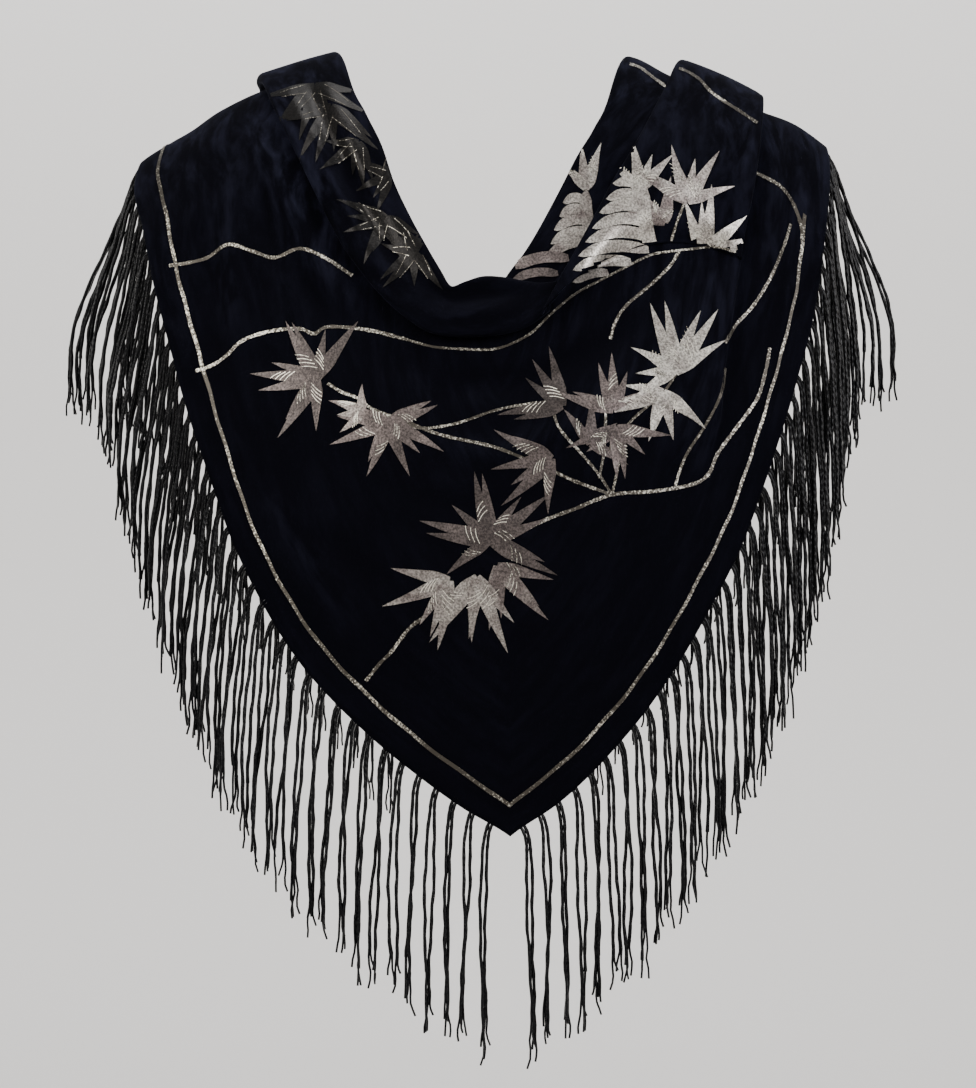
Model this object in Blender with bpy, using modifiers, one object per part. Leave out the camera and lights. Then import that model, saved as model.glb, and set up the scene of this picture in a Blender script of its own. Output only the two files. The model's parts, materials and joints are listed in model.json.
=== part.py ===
"""Velvet shawl with a yarn fringe, in the hollow shape it has when it is worn point to the front.

The shawl is a triangle of velvet. Its long side is rolled back as a cowl in front of the neck, its two
short sides meet in the point at the front and carry the fringe, and its ends go over the shoulders and
hang down the back. Everything is laid out in millimetres on a general figure: a place on it is an x and
a root of the fall below the shoulder line, which is negative behind it. Cloth stands off by a lift.
+Z is up, the front faces -Y, and the origin is the middle of the neck where the shoulders start.
"""

import math
from collections import namedtuple

import bmesh
import bpy
import numpy as np
from mathutils import Vector

MM = 0.001

# Sizes of the cloth, in millimetres
WALL = 2.0
FOLDED_WALL = 1.5
SEAM_GAP = 0.35
SHOULDER_GAP = 0.75
BASE_LIFT = 2.0
SEAM_FALL = 5.0
SEAM_DEPTH_PER_ROOT = 8.0

# Sizes of the fringe
PITCH_FRONT = 11.7
PITCH_BACK = 15.5
STRIP_WIDTH = 3.0
STRIP_THICK = 1.8
STRAND_WIDTH = 2.6
STRAND_TIP = 1.7
STRIP_SET_IN = 0.1
SHOULDER_CLEARANCE = 14.0
END_CLEARANCE = 4.0
TIP_CLEARANCE = 5.0
TURNS_DOWN_OVER = 8.0
SWAY = 1.3
STAGGER = 3.2
UNEVEN_LENGTH = 5.0
RING_LENGTHS = (6.0, 14.0, 34.0)
RING_SHARE = 0.62

# Cowl: radius of its folded edges and lift of its underside, from the shoulder to its hidden end
ROLL_RADIUS = 3.5
ROLL_RADIUS_END = 2.4
ROLL_UNDER = 4.5
ROLL_UNDER_END = 2.4
ROLL_THINS = (0.75, 0.95)
ROLL_CROWN = 1.5
ROLL_INNER_HEM = 0.20
ROLL_OUTER_HEM = 0.10

# Pleats over the right shoulder; shares are parts of the way along or across
PLEAT_RADIUS = 2.6
INNER_RAISED = 6.0
INNER_LIES_FROM = 0.35
INNER_SUNK = 1.4
INNER_SINKS = (0.55, 0.85)
INNER_HEM = 0.18
MIDDLE_OUTER_RADIUS = 2.4
MIDDLE_OUTER_TOP = 11.5
MIDDLE_OUTER_FALL = 2.6
MIDDLE_INNER_TOP = 13.4
MIDDLE_CROWN = 1.5
MIDDLE_INNER_HEM = 0.08
MIDDLE_OUTER_HEM = 0.03
MIDDLE_SETTLES = (0.72, 1.0)
LOWER_EDGE_LIFT = 5.0
LOWER_EDGE_RISE = 17.0

# The general figure: height of the shoulder line, depth of the chest and of the back, half its width
Ridge = namedtuple("Ridge", "x height")
SHOULDER_LINE = (
    Ridge(-215, -32),
    Ridge(-199, -18),
    Ridge(-186, -10),
    Ridge(-173, -3),
    Ridge(-158, 8),
    Ridge(-143, 16),
    Ridge(-115, 26),
    Ridge(-86, 34),
    Ridge(0, 44),
    Ridge(80, 36),
    Ridge(107, 28),
    Ridge(130, 19),
    Ridge(158, 8),
    Ridge(180, -1),
    Ridge(195, -12),
    Ridge(212, -28),
)
Depth = namedtuple("Depth", "z depth")
CHEST = (
    Depth(-600, 136),
    Depth(-404, 139),
    Depth(-250, 138),
    Depth(-180, 125),
    Depth(-100, 100),
    Depth(-50, 84),
    Depth(0, 72),
    Depth(60, 60),
)
BACK = (
    Depth(-600, 88),
    Depth(-300, 96),
    Depth(-200, 102),
    Depth(-120, 96),
    Depth(-60, 82),
    Depth(0, 66),
    Depth(60, 56),
)
HALF_WIDTH = 228.0
ROUNDNESS = 2.4
FROM_AXIS = Vector((1, 1, 0))
SHOULDER_DROP = 70.0

# Sections across each stretch of cloth, from its outer edge to its inner edge, in the front view.
# A SEAM row lies where the front sheets meet the ends, and gives its fall behind the shoulder line for z.
FRONT, BEHIND, SEAM = 1, -1, 0
Section = namedtuple("Section", "side outer_x outer_z inner_x inner_z")

DROP_LEFT = (
    Section(SEAM, -200, SEAM_FALL, -118, SEAM_FALL),
    Section(FRONT, -200, -18, -118, 26),
    Section(FRONT, -202, -38, -112, 6),
    Section(FRONT, -195, -64, -102, -12),
    Section(FRONT, -188, -95, -93, -32),
    Section(FRONT, -178, -130, -83, -52),
    Section(FRONT, -167, -167, -72, -72),
    Section(FRONT, -153, -206, -60, -88),
    Section(FRONT, -138, -246, -46, -102),
    Section(FRONT, -118, -284, -33, -113),
    Section(FRONT, -95, -316, -22, -119),
    Section(FRONT, -64, -347, -12, -121),
    Section(FRONT, -28, -376, -4, -121),
    Section(FRONT, 11, -403, 5, -120),
)
DROP_RIGHT = (
    Section(FRONT, 11, -403, 5, -120),
    Section(FRONT, 46, -375, 13, -118),
    Section(FRONT, 76, -343, 23, -116),
    Section(FRONT, 100, -310, 33, -107),
    Section(FRONT, 120, -276, 45, -95),
    Section(FRONT, 137, -243, 58, -81),
    Section(FRONT, 150, -210, 69, -67),
    Section(FRONT, 161, -178, 79, -51),
    Section(FRONT, 171, -147, 89, -34),
    Section(FRONT, 180, -116, 98, -18),
    Section(FRONT, 186, -84, 106, -3),
    Section(FRONT, 190, -54, 114, 11),
    Section(FRONT, 193, -28, 120, 19),
    Section(FRONT, 193, -10, 124, 22),
    Section(SEAM, 193, SEAM_FALL, 124, SEAM_FALL),
)
NECK_ROLL = (
    Section(SEAM, -134, SEAM_FALL, -87, SEAM_FALL),
    Section(FRONT, -134, 20, -87, 34),
    Section(FRONT, -125, 7, -78, 14),
    Section(FRONT, -115, -13, -69, -5),
    Section(FRONT, -106, -31, -60, -23),
    Section(FRONT, -96, -52, -53, -44),
    Section(FRONT, -85, -74, -44, -64),
    Section(FRONT, -74, -91, -35, -81),
    Section(FRONT, -62, -106, -27, -95),
    Section(FRONT, -50, -118, -21, -104),
    Section(FRONT, -34, -129, -13, -101),
    Section(FRONT, -17, -132, -4, -98),
    Section(FRONT, 1, -131, 7, -98),
    Section(FRONT, 14, -128, 17, -99),
    Section(FRONT, 24, -123, 27, -100),
    Section(FRONT, 31, -117, 36, -100),
)
INNER_PLEAT = (
    Section(SEAM, 120, SEAM_FALL, 79, SEAM_FALL),
    Section(FRONT, 120, 24, 79, 37),
    Section(FRONT, 111, 14, 68, 12),
    Section(FRONT, 99, -8, 59, -8),
    Section(FRONT, 88, -26, 49, -25),
    Section(FRONT, 77, -43, 40, -43),
    Section(FRONT, 65, -60, 30, -62),
    Section(FRONT, 55, -76, 20, -79),
    Section(FRONT, 45, -89, 9, -94),
    Section(FRONT, 37, -100, 4, -105),
)
MIDDLE_PLEAT = (
    Section(SEAM, 157, SEAM_FALL, 108, SEAM_FALL),
    Section(FRONT, 157, 9, 108, 28),
    Section(FRONT, 155, 0, 100, 15),
    Section(FRONT, 152, -18, 90, -5),
    Section(FRONT, 149, -36, 80, -23),
    Section(FRONT, 146, -52, 69, -41),
    Section(FRONT, 143, -66, 59, -61),
    Section(FRONT, 141, -76, 49, -80),
    Section(FRONT, 140, -82, 38, -100),
    Section(FRONT, 140, -86, 28, -120),
)
LEFT_TAIL = (
    Section(SEAM, -200, SEAM_FALL, -87, SEAM_FALL),
    Section(BEHIND, -197, -45, -86, 4),
    Section(BEHIND, -187, -76, -83, -24),
    Section(BEHIND, -173, -108, -79, -54),
    Section(BEHIND, -157, -139, -75, -85),
    Section(BEHIND, -139, -169, -71, -116),
    Section(BEHIND, -120, -197, -67, -147),
    Section(BEHIND, -101, -223, -63, -178),
    Section(BEHIND, -82, -247, -59, -209),
    Section(BEHIND, -64, -269, -55, -238),
    Section(BEHIND, -50, -284, -47, -262),
)
RIGHT_TAIL = (
    Section(SEAM, 193, SEAM_FALL, 79, SEAM_FALL),
    Section(BEHIND, 190, -40, 79, 6),
    Section(BEHIND, 181, -70, 77, -22),
    Section(BEHIND, 168, -101, 74, -51),
    Section(BEHIND, 153, -131, 71, -80),
    Section(BEHIND, 136, -160, 68, -110),
    Section(BEHIND, 118, -188, 65, -140),
    Section(BEHIND, 100, -214, 62, -170),
    Section(BEHIND, 82, -238, 58, -200),
    Section(BEHIND, 65, -259, 54, -228),
    Section(BEHIND, 51, -274, 47, -252),
)

# Soft folds of the front drop: a ridge (+) or trough (-) along a path, or a step down to its outer side
Fold = namedtuple("Fold", "kind height width path")
STEP_RUN_OUT = 9.0
DROP_FOLDS = (
    Fold("step", 7.0, 4.0, ((140, -90), (137, -104), (134, -120), (130, -145), (127, -175), (116, -205))),
    Fold("soft", -2.0, 7.0, ((-157, -30), (-157, -90), (-153, -165))),
    Fold("soft", -1.6, 6.0, ((-127, -36), (-125, -80))),
    Fold("soft", 2.2, 8.0, ((-134, -10), (-118, -45), (-98, -85), (-76, -115))),
    Fold("soft", -2.4, 7.0, ((-112, -78), (-100, -102), (-88, -126))),
    Fold("soft", -1.8, 10.0, ((-92, -232), (-76, -254), (-60, -272))),
    Fold("soft", -2.2, 6.0, ((177, -5), (174, -48), (168, -100))),
    Fold("soft", 2.0, 7.0, ((164, -12), (160, -62), (152, -120))),
    Fold("soft", -3.0, 10.0, ((-56, -140), (-20, -156), (25, -154), (72, -126), (108, -98))),
    Fold("soft", 2.6, 9.0, ((-40, -190), (5, -198), (48, -182), (86, -146))),
)
ROLL_FOLDS = (
    Fold("soft", -2.2, 5.0, ((-108, 22), (-92, -12), (-76, -52), (-54, -88))),
    Fold("soft", -2.0, 4.5, ((-52, -98), (-34, -106), (-20, -107))),
    Fold("soft", 1.6, 5.0, ((-36, -118), (-8, -116), (18, -112))),
)

# Pleats of the ends on the back: place across (0 outer, 1 inner), and lift at the shoulder and at the end
Pleat = namedtuple("Pleat", "across at_shoulder at_end")
PLEATS_FLATTEN = 0.85
LEFT_PLEATS = (
    Pleat(0.00, 2, 2),
    Pleat(0.20, 2, 6),
    Pleat(0.26, 2, 2),
    Pleat(0.54, 2, 8),
    Pleat(0.60, 11, 3),
    Pleat(0.84, 11, 7),
    Pleat(0.90, 11, 3),
    Pleat(1.00, 9, 4),
)
RIGHT_PLEATS = (
    Pleat(0.00, 2, 2),
    Pleat(0.28, 2, 7),
    Pleat(0.34, 10, 2),
    Pleat(0.60, 12, 7),
    Pleat(0.73, 13, 3),
    Pleat(0.79, 4, 5),
    Pleat(0.90, 7, 7),
    Pleat(1.00, 6, 3),
)

# How the strands hang, from the shoulder (0) to the end of the edge (1): how far they leave it, and drift
Hang = namedtuple("Hang", "along leaves drift_x drift_y length")
HANG_FRONT_LEFT = (
    Hang(0.00, 13, -40, 6, 150),
    Hang(0.05, 10, -27, 2, 146),
    Hang(0.12, 7, -17, -3, 140),
    Hang(0.30, 7, -12, -4, 146),
    Hang(0.60, 7, -7, -4, 138),
    Hang(1.00, 7, -1, -3, 132),
)
HANG_FRONT_RIGHT = (
    Hang(0.00, 13, 36, 6, 148),
    Hang(0.05, 10, 22, 4, 150),
    Hang(0.12, 7, 8, 0, 158),
    Hang(0.30, 7, 3, -4, 160),
    Hang(0.60, 7, 3, -4, 142),
    Hang(1.00, 7, 1, -3, 132),
)
HANG_BACK = (
    Hang(0.00, 7, 14, 8, 146),
    Hang(0.20, 7, 6, 6, 142),
    Hang(1.00, 7, 2, 4, 132),
)


def smooth(rows, at):
    """A smooth curve through the rows of a two-column table."""
    table = np.array(rows, float)
    xs, ys = table[:, 0], table[:, 1]
    slope = np.gradient(ys, xs)
    at = np.clip(np.asarray(at, float), xs[0], xs[-1])
    k = np.clip(np.searchsorted(xs, at) - 1, 0, len(xs) - 2)
    gap = xs[k + 1] - xs[k]
    s = (at - xs[k]) / gap
    start = (1 + 2 * s) * (1 - s) ** 2 * ys[k] + s * (1 - s) ** 2 * gap * slope[k]
    end = s * s * (3 - 2 * s) * ys[k + 1] + s * s * (s - 1) * gap * slope[k + 1]
    return start + end


def ease(t):
    """0 to 1 with soft ends."""
    t = np.clip(t, 0.0, 1.0)
    return t * t * (3 - 2 * t)


def between(at, start, end):
    """0 before the start and 1 after the end, with soft ends; the end may come first."""
    return ease((at - start) / (end - start))


def figure(x, root):
    """Points on the general figure, root being the signed square root of the fall below the shoulder line."""
    fall = np.minimum(np.abs(root), math.sqrt(SHOULDER_DROP)) ** 2
    turn = np.sqrt(np.clip(1 - (1 - fall / SHOULDER_DROP) ** 2, 0, 1))
    side = np.clip(1 - (np.abs(x) / HALF_WIDTH) ** ROUNDNESS, 0.0, 1.0) ** (1 / ROUNDNESS)
    z = smooth(SHOULDER_LINE, x) - root**2
    y = np.where(root > 0, -smooth(CHEST, z), smooth(BACK, z)) * side * turn
    return np.stack([x, y, z], axis=-1)


def normal(x, root):
    """Outward direction of the figure."""
    step = 0.05
    across = figure(x + step, root) - figure(x - step, root)
    down = figure(x, root + step) - figure(x, root - step)
    out = np.cross(down, across)
    return out / np.linalg.norm(out, axis=-1, keepdims=True)


def lifted(x, root, lift):
    """Points that stand off the figure."""
    x, root, lift = np.broadcast_arrays(x, root, lift)
    return figure(x, root) + normal(x, root) * lift[..., None]


def roots(side, x, z):
    """Signed square root of the fall below the shoulder line."""
    front_or_back = side * np.sqrt(np.maximum(smooth(SHOULDER_LINE, x) - z, 0.0))
    return np.where(np.asarray(side) == SEAM, -np.sqrt(np.abs(z)), front_or_back)


class Stretch:
    """A stretch of cloth between two smooth edges that run through its sections."""

    def __init__(self, sections):
        table = np.array(sections, float)
        at = np.arange(len(table)) / (len(table) - 1)
        self.edges = []
        for x, z in ((table[:, 1], table[:, 2]), (table[:, 3], table[:, 4])):
            root = roots(table[:, 0], x, z)
            self.edges.append((np.stack([at, x], 1), np.stack([at, root], 1)))

    def edge(self, which, along):
        x, root = self.edges[which]
        return smooth(x, along), smooth(root, along)

    def spot(self, along, across):
        """x and root at a part of the way along and across, which may lie past an edge."""
        outer, inner = self.edge(0, along), self.edge(1, along)
        return tuple(a + (b - a) * across for a, b in zip(outer, inner))

    def width(self, along):
        outer, inner = (figure(*self.edge(k, along)) for k in (0, 1))
        return float(np.linalg.norm(outer - inner))


def fold_relief(folds, x, z):
    """How far soft folds raise or sink the cloth at a place of the front view."""
    total = np.zeros(np.shape(x))
    for fold in folds:
        path = np.array(fold.path, float)
        lengths = np.linalg.norm(np.diff(path, axis=0), axis=1)
        run = np.concatenate([[0], np.cumsum(lengths)])
        nearest = np.full(np.shape(x), 1e9)
        signed = np.zeros(np.shape(x))
        along = np.zeros(np.shape(x))
        for k, length in enumerate(lengths):
            (ax, az), (dx, dz) = path[k], (path[k + 1] - path[k]) / length
            t = np.clip((x - ax) * dx + (z - az) * dz, 0, length)
            px, pz = x - ax - t * dx, z - az - t * dz
            away = np.hypot(px, pz)
            closer = away < nearest
            nearest = np.where(closer, away, nearest)
            signed = np.where(closer, np.sign(px * dz - pz * dx) * away, signed)
            along = np.where(closer, (run[k] + t) / run[-1], along)
        fade = np.sin(math.pi * along) ** 0.7
        if fold.kind == "step":
            shape = between(signed, -fold.width / 2, fold.width / 2)
            shape = shape * np.exp(-np.maximum(signed, 0) / (STEP_RUN_OUT * fold.width))
        else:
            shape = np.exp(-((nearest / fold.width) ** 2))
        total += fold.height * fade * shape
    return total


def turned_edge(radius, top, hem):
    """Distance in from a folded edge, and lift, from the end of the hem round to the top."""
    under = top - 2 * radius
    rows = [(radius + hem, under), (radius, under)]
    for degrees in (45, 90, 135):
        turn = math.radians(degrees)
        rows.append((radius - radius * math.sin(turn), top - radius - radius * math.cos(turn)))
    rows.append((radius, top))
    return rows


def new_material(name, colour, roughness):
    material = bpy.data.materials.new(name)
    material.use_nodes = True
    shader = material.node_tree.nodes["Principled BSDF"]
    shader.inputs["Base Color"].default_value = (*colour, 1)
    shader.inputs["Roughness"].default_value = roughness
    shader.inputs["Metallic"].default_value = 0.0
    material.diffuse_color = (*colour, 1)
    return material


def new_object(name, bm, colour, roughness):
    mesh = bpy.data.meshes.new(name)
    bm.to_mesh(mesh)
    bm.free()
    mesh.materials.append(new_material(name + "_finish", colour, roughness))
    mesh.shade_smooth()
    made = bpy.data.objects.new(name, mesh)
    bpy.data.collections["velvet_shawl"].objects.link(made)
    return made


def cloth(name, points, colour, thickness=WALL):
    """A sheet through a grid of points, whose outside faces away from the figure, given its wall inwards."""
    rows, columns = points.shape[:2]
    bm = bmesh.new()
    bmesh.ops.create_grid(bm, x_segments=rows - 1, y_segments=columns - 1, size=1.0)
    for vertex in bm.verts:
        i = round((vertex.co.x + 1) / 2 * (rows - 1))
        j = round((vertex.co.y + 1) / 2 * (columns - 1))
        vertex.co = Vector(points[i, j] * MM)
    bm.normal_update()
    if sum(face.calc_area() * face.normal.dot(face.calc_center_median() * FROM_AXIS) for face in bm.faces) < 0:
        bmesh.ops.reverse_faces(bm, faces=bm.faces)
    made = new_object(name, bm, colour, 0.9)
    wall = made.modifiers.new("Wall", "SOLIDIFY")
    wall.thickness = thickness * MM
    wall.offset = -1.0
    wall.use_even_offset = True
    return made


def drop_points(sections, steps, columns):
    """The wide front of the shawl, from one shoulder towards the point."""
    stretch = Stretch(sections)
    along = np.linspace(0, 1, steps + 1)[:, None]
    across = np.linspace(0, 1, columns + 1)[None, :]
    x, root = stretch.spot(along, across)
    z = figure(x, root)[..., 2]
    return lifted(x, root, BASE_LIFT + fold_relief(DROP_FOLDS, x, z))


def front_drop():
    """The whole front sheet, with the outer edge of each half for the fringe."""
    left = drop_points(DROP_LEFT, 20, 14)
    right = drop_points(DROP_RIGHT, 22, 14)
    cloth("front_drop", np.concatenate([left, right[1:]]), (0.004, 0.004, 0.010))
    return Edge(left, (0, -1, 0.2)), Edge(right[::-1], (0, -1, 0.2))


def rolled_points(stretch, steps, top_at, radius_at, inner_hem, outer_hem, columns, folds=()):
    """A stretch whose two long edges are folded under; tops are given at the outer and inner edge."""
    grid = []
    for along in np.linspace(0, 1, steps + 1):
        width = stretch.width(along)
        radius = radius_at(along)
        top_outer, top_inner = top_at(along)
        outer = turned_edge(radius, top_outer, outer_hem * width)
        inner = turned_edge(radius, top_inner, inner_hem * width)
        across = [s / width for s, _ in outer]
        lift = [n for _, n in outer]
        for t in np.linspace(0, 1, columns + 1)[1:-1]:
            across.append((radius + t * (width - 2 * radius)) / width)
            lift.append(top_outer + (top_inner - top_outer) * t)
        across += [1 - s / width for s, _ in reversed(inner)]
        lift += [n for _, n in reversed(inner)]
        x, root = stretch.spot(along, np.array(across))
        lift = np.array(lift)
        if folds:
            z = figure(x, root)[..., 2]
            on_top = slice(len(outer), len(across) - len(inner))
            lift[on_top] += fold_relief(folds, x[on_top], z[on_top])
        grid.append(lifted(x, root, lift))
    return np.array(grid)


def neck_roll():
    """The cowl: down from the left shoulder, across under the neck, and in under the middle pleat."""
    stretch = Stretch(NECK_ROLL)

    def radius_at(along):
        return ROLL_RADIUS + (ROLL_RADIUS_END - ROLL_RADIUS) * between(along, *ROLL_THINS)

    def top_at(along):
        under = ROLL_UNDER + (ROLL_UNDER_END - ROLL_UNDER) * between(along, *ROLL_THINS)
        top = under + 2 * radius_at(along)
        return top, top + ROLL_CROWN * math.sin(math.pi * along)

    points = rolled_points(stretch, 30, top_at, radius_at, ROLL_INNER_HEM, ROLL_OUTER_HEM, 6, ROLL_FOLDS)
    cloth("neck_roll", points, (0.006, 0.006, 0.012), FOLDED_WALL)


def right_inner_pleat():
    """The pleat beside the neck, which goes down behind the cowl."""
    stretch = Stretch(INNER_PLEAT)
    flat = [0.0, 0.2, 0.4, 0.6, 0.78]
    grid = []
    for along in np.linspace(0, 1, 16):
        width = stretch.width(along)
        raised = INNER_RAISED * between(along, INNER_LIES_FROM, 0) - INNER_SUNK * between(along, *INNER_SINKS)
        inner = turned_edge(PLEAT_RADIUS, BASE_LIFT + raised, INNER_HEM * width)
        across = flat + [1 - s / width for s, _ in reversed(inner)]
        lift = [BASE_LIFT + raised * between(a, 0.3, 0.9) for a in flat] + [n for _, n in reversed(inner)]
        x, root = stretch.spot(along, np.array(across))
        grid.append(lifted(x, root, np.array(lift)))
    cloth("right_inner_pleat", np.array(grid), (0.005, 0.005, 0.011), FOLDED_WALL)


def right_middle_pleat():
    """The wide pleat over the right shoulder, which lies on the drop and ends in a curved lower edge."""
    stretch = Stretch(MIDDLE_PLEAT)
    middle = np.linspace(0.14, 0.86, 6)
    grid = []
    for along in np.linspace(0, 1, 17):
        width = stretch.width(along)
        outer_top = MIDDLE_OUTER_TOP - MIDDLE_OUTER_FALL * along
        outer = turned_edge(MIDDLE_OUTER_RADIUS, outer_top, MIDDLE_OUTER_HEM * width)
        inner = turned_edge(PLEAT_RADIUS, MIDDLE_INNER_TOP, MIDDLE_INNER_HEM * width)
        across = np.array([s / width for s, _ in outer] + list(middle) + [1 - s / width for s, _ in reversed(inner)])
        crown = outer_top + (MIDDLE_INNER_TOP - outer_top) * middle + MIDDLE_CROWN * np.sin(math.pi * middle)
        settles = between(along, *MIDDLE_SETTLES) * between(middle, 0, 0.16) * between(middle, 0.82, 0.58)
        settled = crown + (LOWER_EDGE_LIFT - crown) * settles
        lift = np.array([n for _, n in outer] + list(settled) + [n for _, n in reversed(inner)])
        x, root = stretch.spot(along, across)
        arch = LOWER_EDGE_RISE * np.sin(math.pi * np.clip(across, 0, 1)) ** 0.8 * along**3
        if along > 0.2:
            root = roots(FRONT, x, figure(x, root)[:, 2] + arch)
        grid.append(lifted(x, root, lift))
    cloth("right_middle_pleat", np.array(grid), (0.007, 0.007, 0.014), FOLDED_WALL)


def tail(name, sections, pleats, colour):
    """An end of the shawl, pleated where it leaves the shoulder and hanging down the back to its corner."""
    stretch = Stretch(sections)
    across = np.array([0.0, 0.1, 0.2, 0.28, 0.34, 0.45, 0.55, 0.62, 0.72, 0.79, 0.88, 1.0])
    place = [p.across for p in pleats]
    near = np.interp(across, place, [p.at_shoulder for p in pleats])
    far = np.interp(across, place, [p.at_end for p in pleats])
    grid = []
    for along in np.linspace(0, 1, 17):
        x, root = stretch.spot(along, across)
        if along == 0:
            root = root - SHOULDER_GAP / SEAM_DEPTH_PER_ROOT
        pleated = near + (far - near) * between(along, 0, 0.5)
        grid.append(lifted(x, root, BASE_LIFT + (pleated - BASE_LIFT) * (1 - PLEATS_FLATTEN * along)))
    points = np.array(grid)
    cloth(name, points, colour)
    return Edge(points, (0, 1, 0.2))


class Edge:
    """The outer edge of a sheet, read from the sheet's own points."""

    def __init__(self, points, outside):
        self.points = points[:, 0]
        self.outside = Vector(outside)
        hop = np.linalg.norm(np.diff(self.points, axis=0), axis=1)
        self.run = np.concatenate([[0], np.cumsum(hop)])
        self.tangents = self.unit(np.gradient(self.points, self.run, axis=0))
        outward = self.points - points[:, 1]
        outward -= self.tangents * np.sum(outward * self.tangents, axis=1)[:, None]
        self.outward = self.unit(outward)

    @staticmethod
    def unit(vectors):
        return vectors / np.linalg.norm(vectors, axis=1, keepdims=True)

    def frame(self, at):
        """Point, direction along the edge and direction away from the cloth, at a length run."""
        rows = (self.points, self.tangents, self.outward)
        point, tangent, away = (Vector([np.interp(at, self.run, row[:, k]) for k in range(3)]) for row in rows)
        tangent.normalize()
        away = (away - tangent * away.dot(tangent)).normalized()
        return point, tangent, away

    def places(self, start, end, pitch):
        """Lengths along the edge that lie a pitch apart, between its two ends."""
        free = self.run[-1] - start - end - 2 * STRIP_WIDTH
        count = int(free // pitch) + 1
        return start + STRIP_WIDTH + (free - (count - 1) * pitch) / 2 + pitch * np.arange(count)


def draw_out(bm, face, rings, labels):
    """Extrudes a face from ring to ring; labels tell which corner of a ring each of its vertices takes."""
    order = [labels[vertex] for vertex in face.verts]
    for ring in rings:
        face = bmesh.ops.extrude_discrete_faces(bm, faces=[face])["faces"][0]
        for vertex, corner in zip(face.verts, order):
            vertex.co = ring[corner] * MM


def strand_rings(root, away, tangent, out, leaves, drift, length, index):
    """Corners of the rings of one strand, which leaves the strip outwards and turns down to hang."""
    sway = SWAY * math.sin(index * 2.4)

    def path(s):
        left = leaves * (1 - math.exp(-s / leaves))
        fall = s - TURNS_DOWN_OVER * (1 - math.exp(-s / TURNS_DOWN_OVER))
        waves = Vector((sway * math.sin(s / 24.0), sway * 0.6 * math.sin(s / 31.0), 0))
        swing = float(between(s, 4.0, 4.0 + 0.75 * length))
        return root + away * left + (drift + waves) * swing - Vector((0, 0, fall))

    rings = []
    side, up, facing = tangent.copy(), out.copy(), away.copy()
    for s in (*RING_LENGTHS, RING_SHARE * length, length):
        heading = (path(s + 0.5) - path(s - 0.5)).normalized()
        turn = facing.rotation_difference(heading)
        side.rotate(turn)
        up.rotate(turn)
        facing = heading
        half = (STRAND_WIDTH + (STRAND_TIP - STRAND_WIDTH) * s / length) / 2
        centre = path(s)
        rings.append({(a, b): centre + side * a * half + up * b * half for a in (-1, 1) for b in (-1, 1)})
    return rings


def strip_ring(edge, at):
    """Corners of the strip at a length along the edge: near or far from the cloth, outside or inside."""
    point, tangent, away = edge.frame(at)
    out = away.cross(tangent)
    if out.dot(edge.outside) < 0:
        out.negate()
    ring = {}
    for level, drop in ((1, STRIP_SET_IN), (-1, STRIP_SET_IN + STRIP_THICK)):
        ring[0, level] = point + away * SEAM_GAP - out * drop
        ring[1, level] = point + away * (SEAM_GAP + STRIP_WIDTH) - out * drop
    return ring


def fringe(name, edge, hangs, pitch, clearances, mirror=1):
    """Strands of yarn whose roots are fused into one narrow strip along the outer edge of the cloth."""
    start, end = clearances
    centres = edge.places(start, end, pitch)
    sides = [centre + half for centre in centres for half in (-STRAND_WIDTH / 2, STRAND_WIDTH / 2)]
    rings = [strip_ring(edge, at) for at in sides]
    bm = bmesh.new()
    bmesh.ops.create_cube(bm, size=2.0)
    labels = {v: (int(v.co.y > 0), 1 if v.co.z > 0 else -1) for v in bm.verts}
    far_end = {v for v in bm.verts if v.co.x > 0}
    for vertex in bm.verts:
        vertex.co = rings[int(vertex in far_end)][labels[vertex]] * MM

    def outer_side(faces):
        return next(face for face in faces if all(labels[v][0] == 1 for v in face.verts))

    leading = next(face for face in bm.faces if far_end.issuperset(face.verts))
    spans = [outer_side(bm.faces)]
    for ring in rings[2:]:
        order = [labels[v] for v in leading.verts]
        before = set(bm.faces)
        leading = bmesh.ops.extrude_discrete_faces(bm, faces=[leading])["faces"][0]
        for vertex, corner in zip(leading.verts, order):
            vertex.co = ring[corner] * MM
            labels[vertex] = corner
        spans.append(outer_side([f for f in bm.faces if f not in before and f is not leading]))

    for index, face in enumerate(spans[::2]):
        point, tangent, away = edge.frame(centres[index])
        middle = sum((v.co for v in face.verts), Vector()) / 4 / MM
        corners = {v: (1 if (v.co / MM - middle).dot(tangent) > 0 else -1, labels[v][1]) for v in face.verts}
        part = (centres[index] - start) / (edge.run[-1] - start - end)
        leaves, drift_x, drift_y, length = (
            float(np.interp(part, [h.along for h in hangs], [h[k] for h in hangs])) for k in (1, 2, 3, 4)
        )
        drift = Vector((drift_x * mirror, drift_y + STAGGER * (index % 2), 0))
        length += UNEVEN_LENGTH * math.sin(index * 1.7)
        out = sum(((v.co / MM - middle) * corners[v][1] for v in face.verts), Vector()).normalized()
        draw_out(bm, face, strand_rings(middle, away, tangent, out, leaves, drift, length, index), corners)
    bmesh.ops.recalc_face_normals(bm, faces=bm.faces)
    new_object(name, bm, (0.010, 0.010, 0.012), 0.6)


def clear_scene():
    for held in list(bpy.data.objects):
        bpy.data.objects.remove(held, do_unlink=True)
    made = bpy.data.collections.new("velvet_shawl")
    bpy.context.scene.collection.children.link(made)


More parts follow.
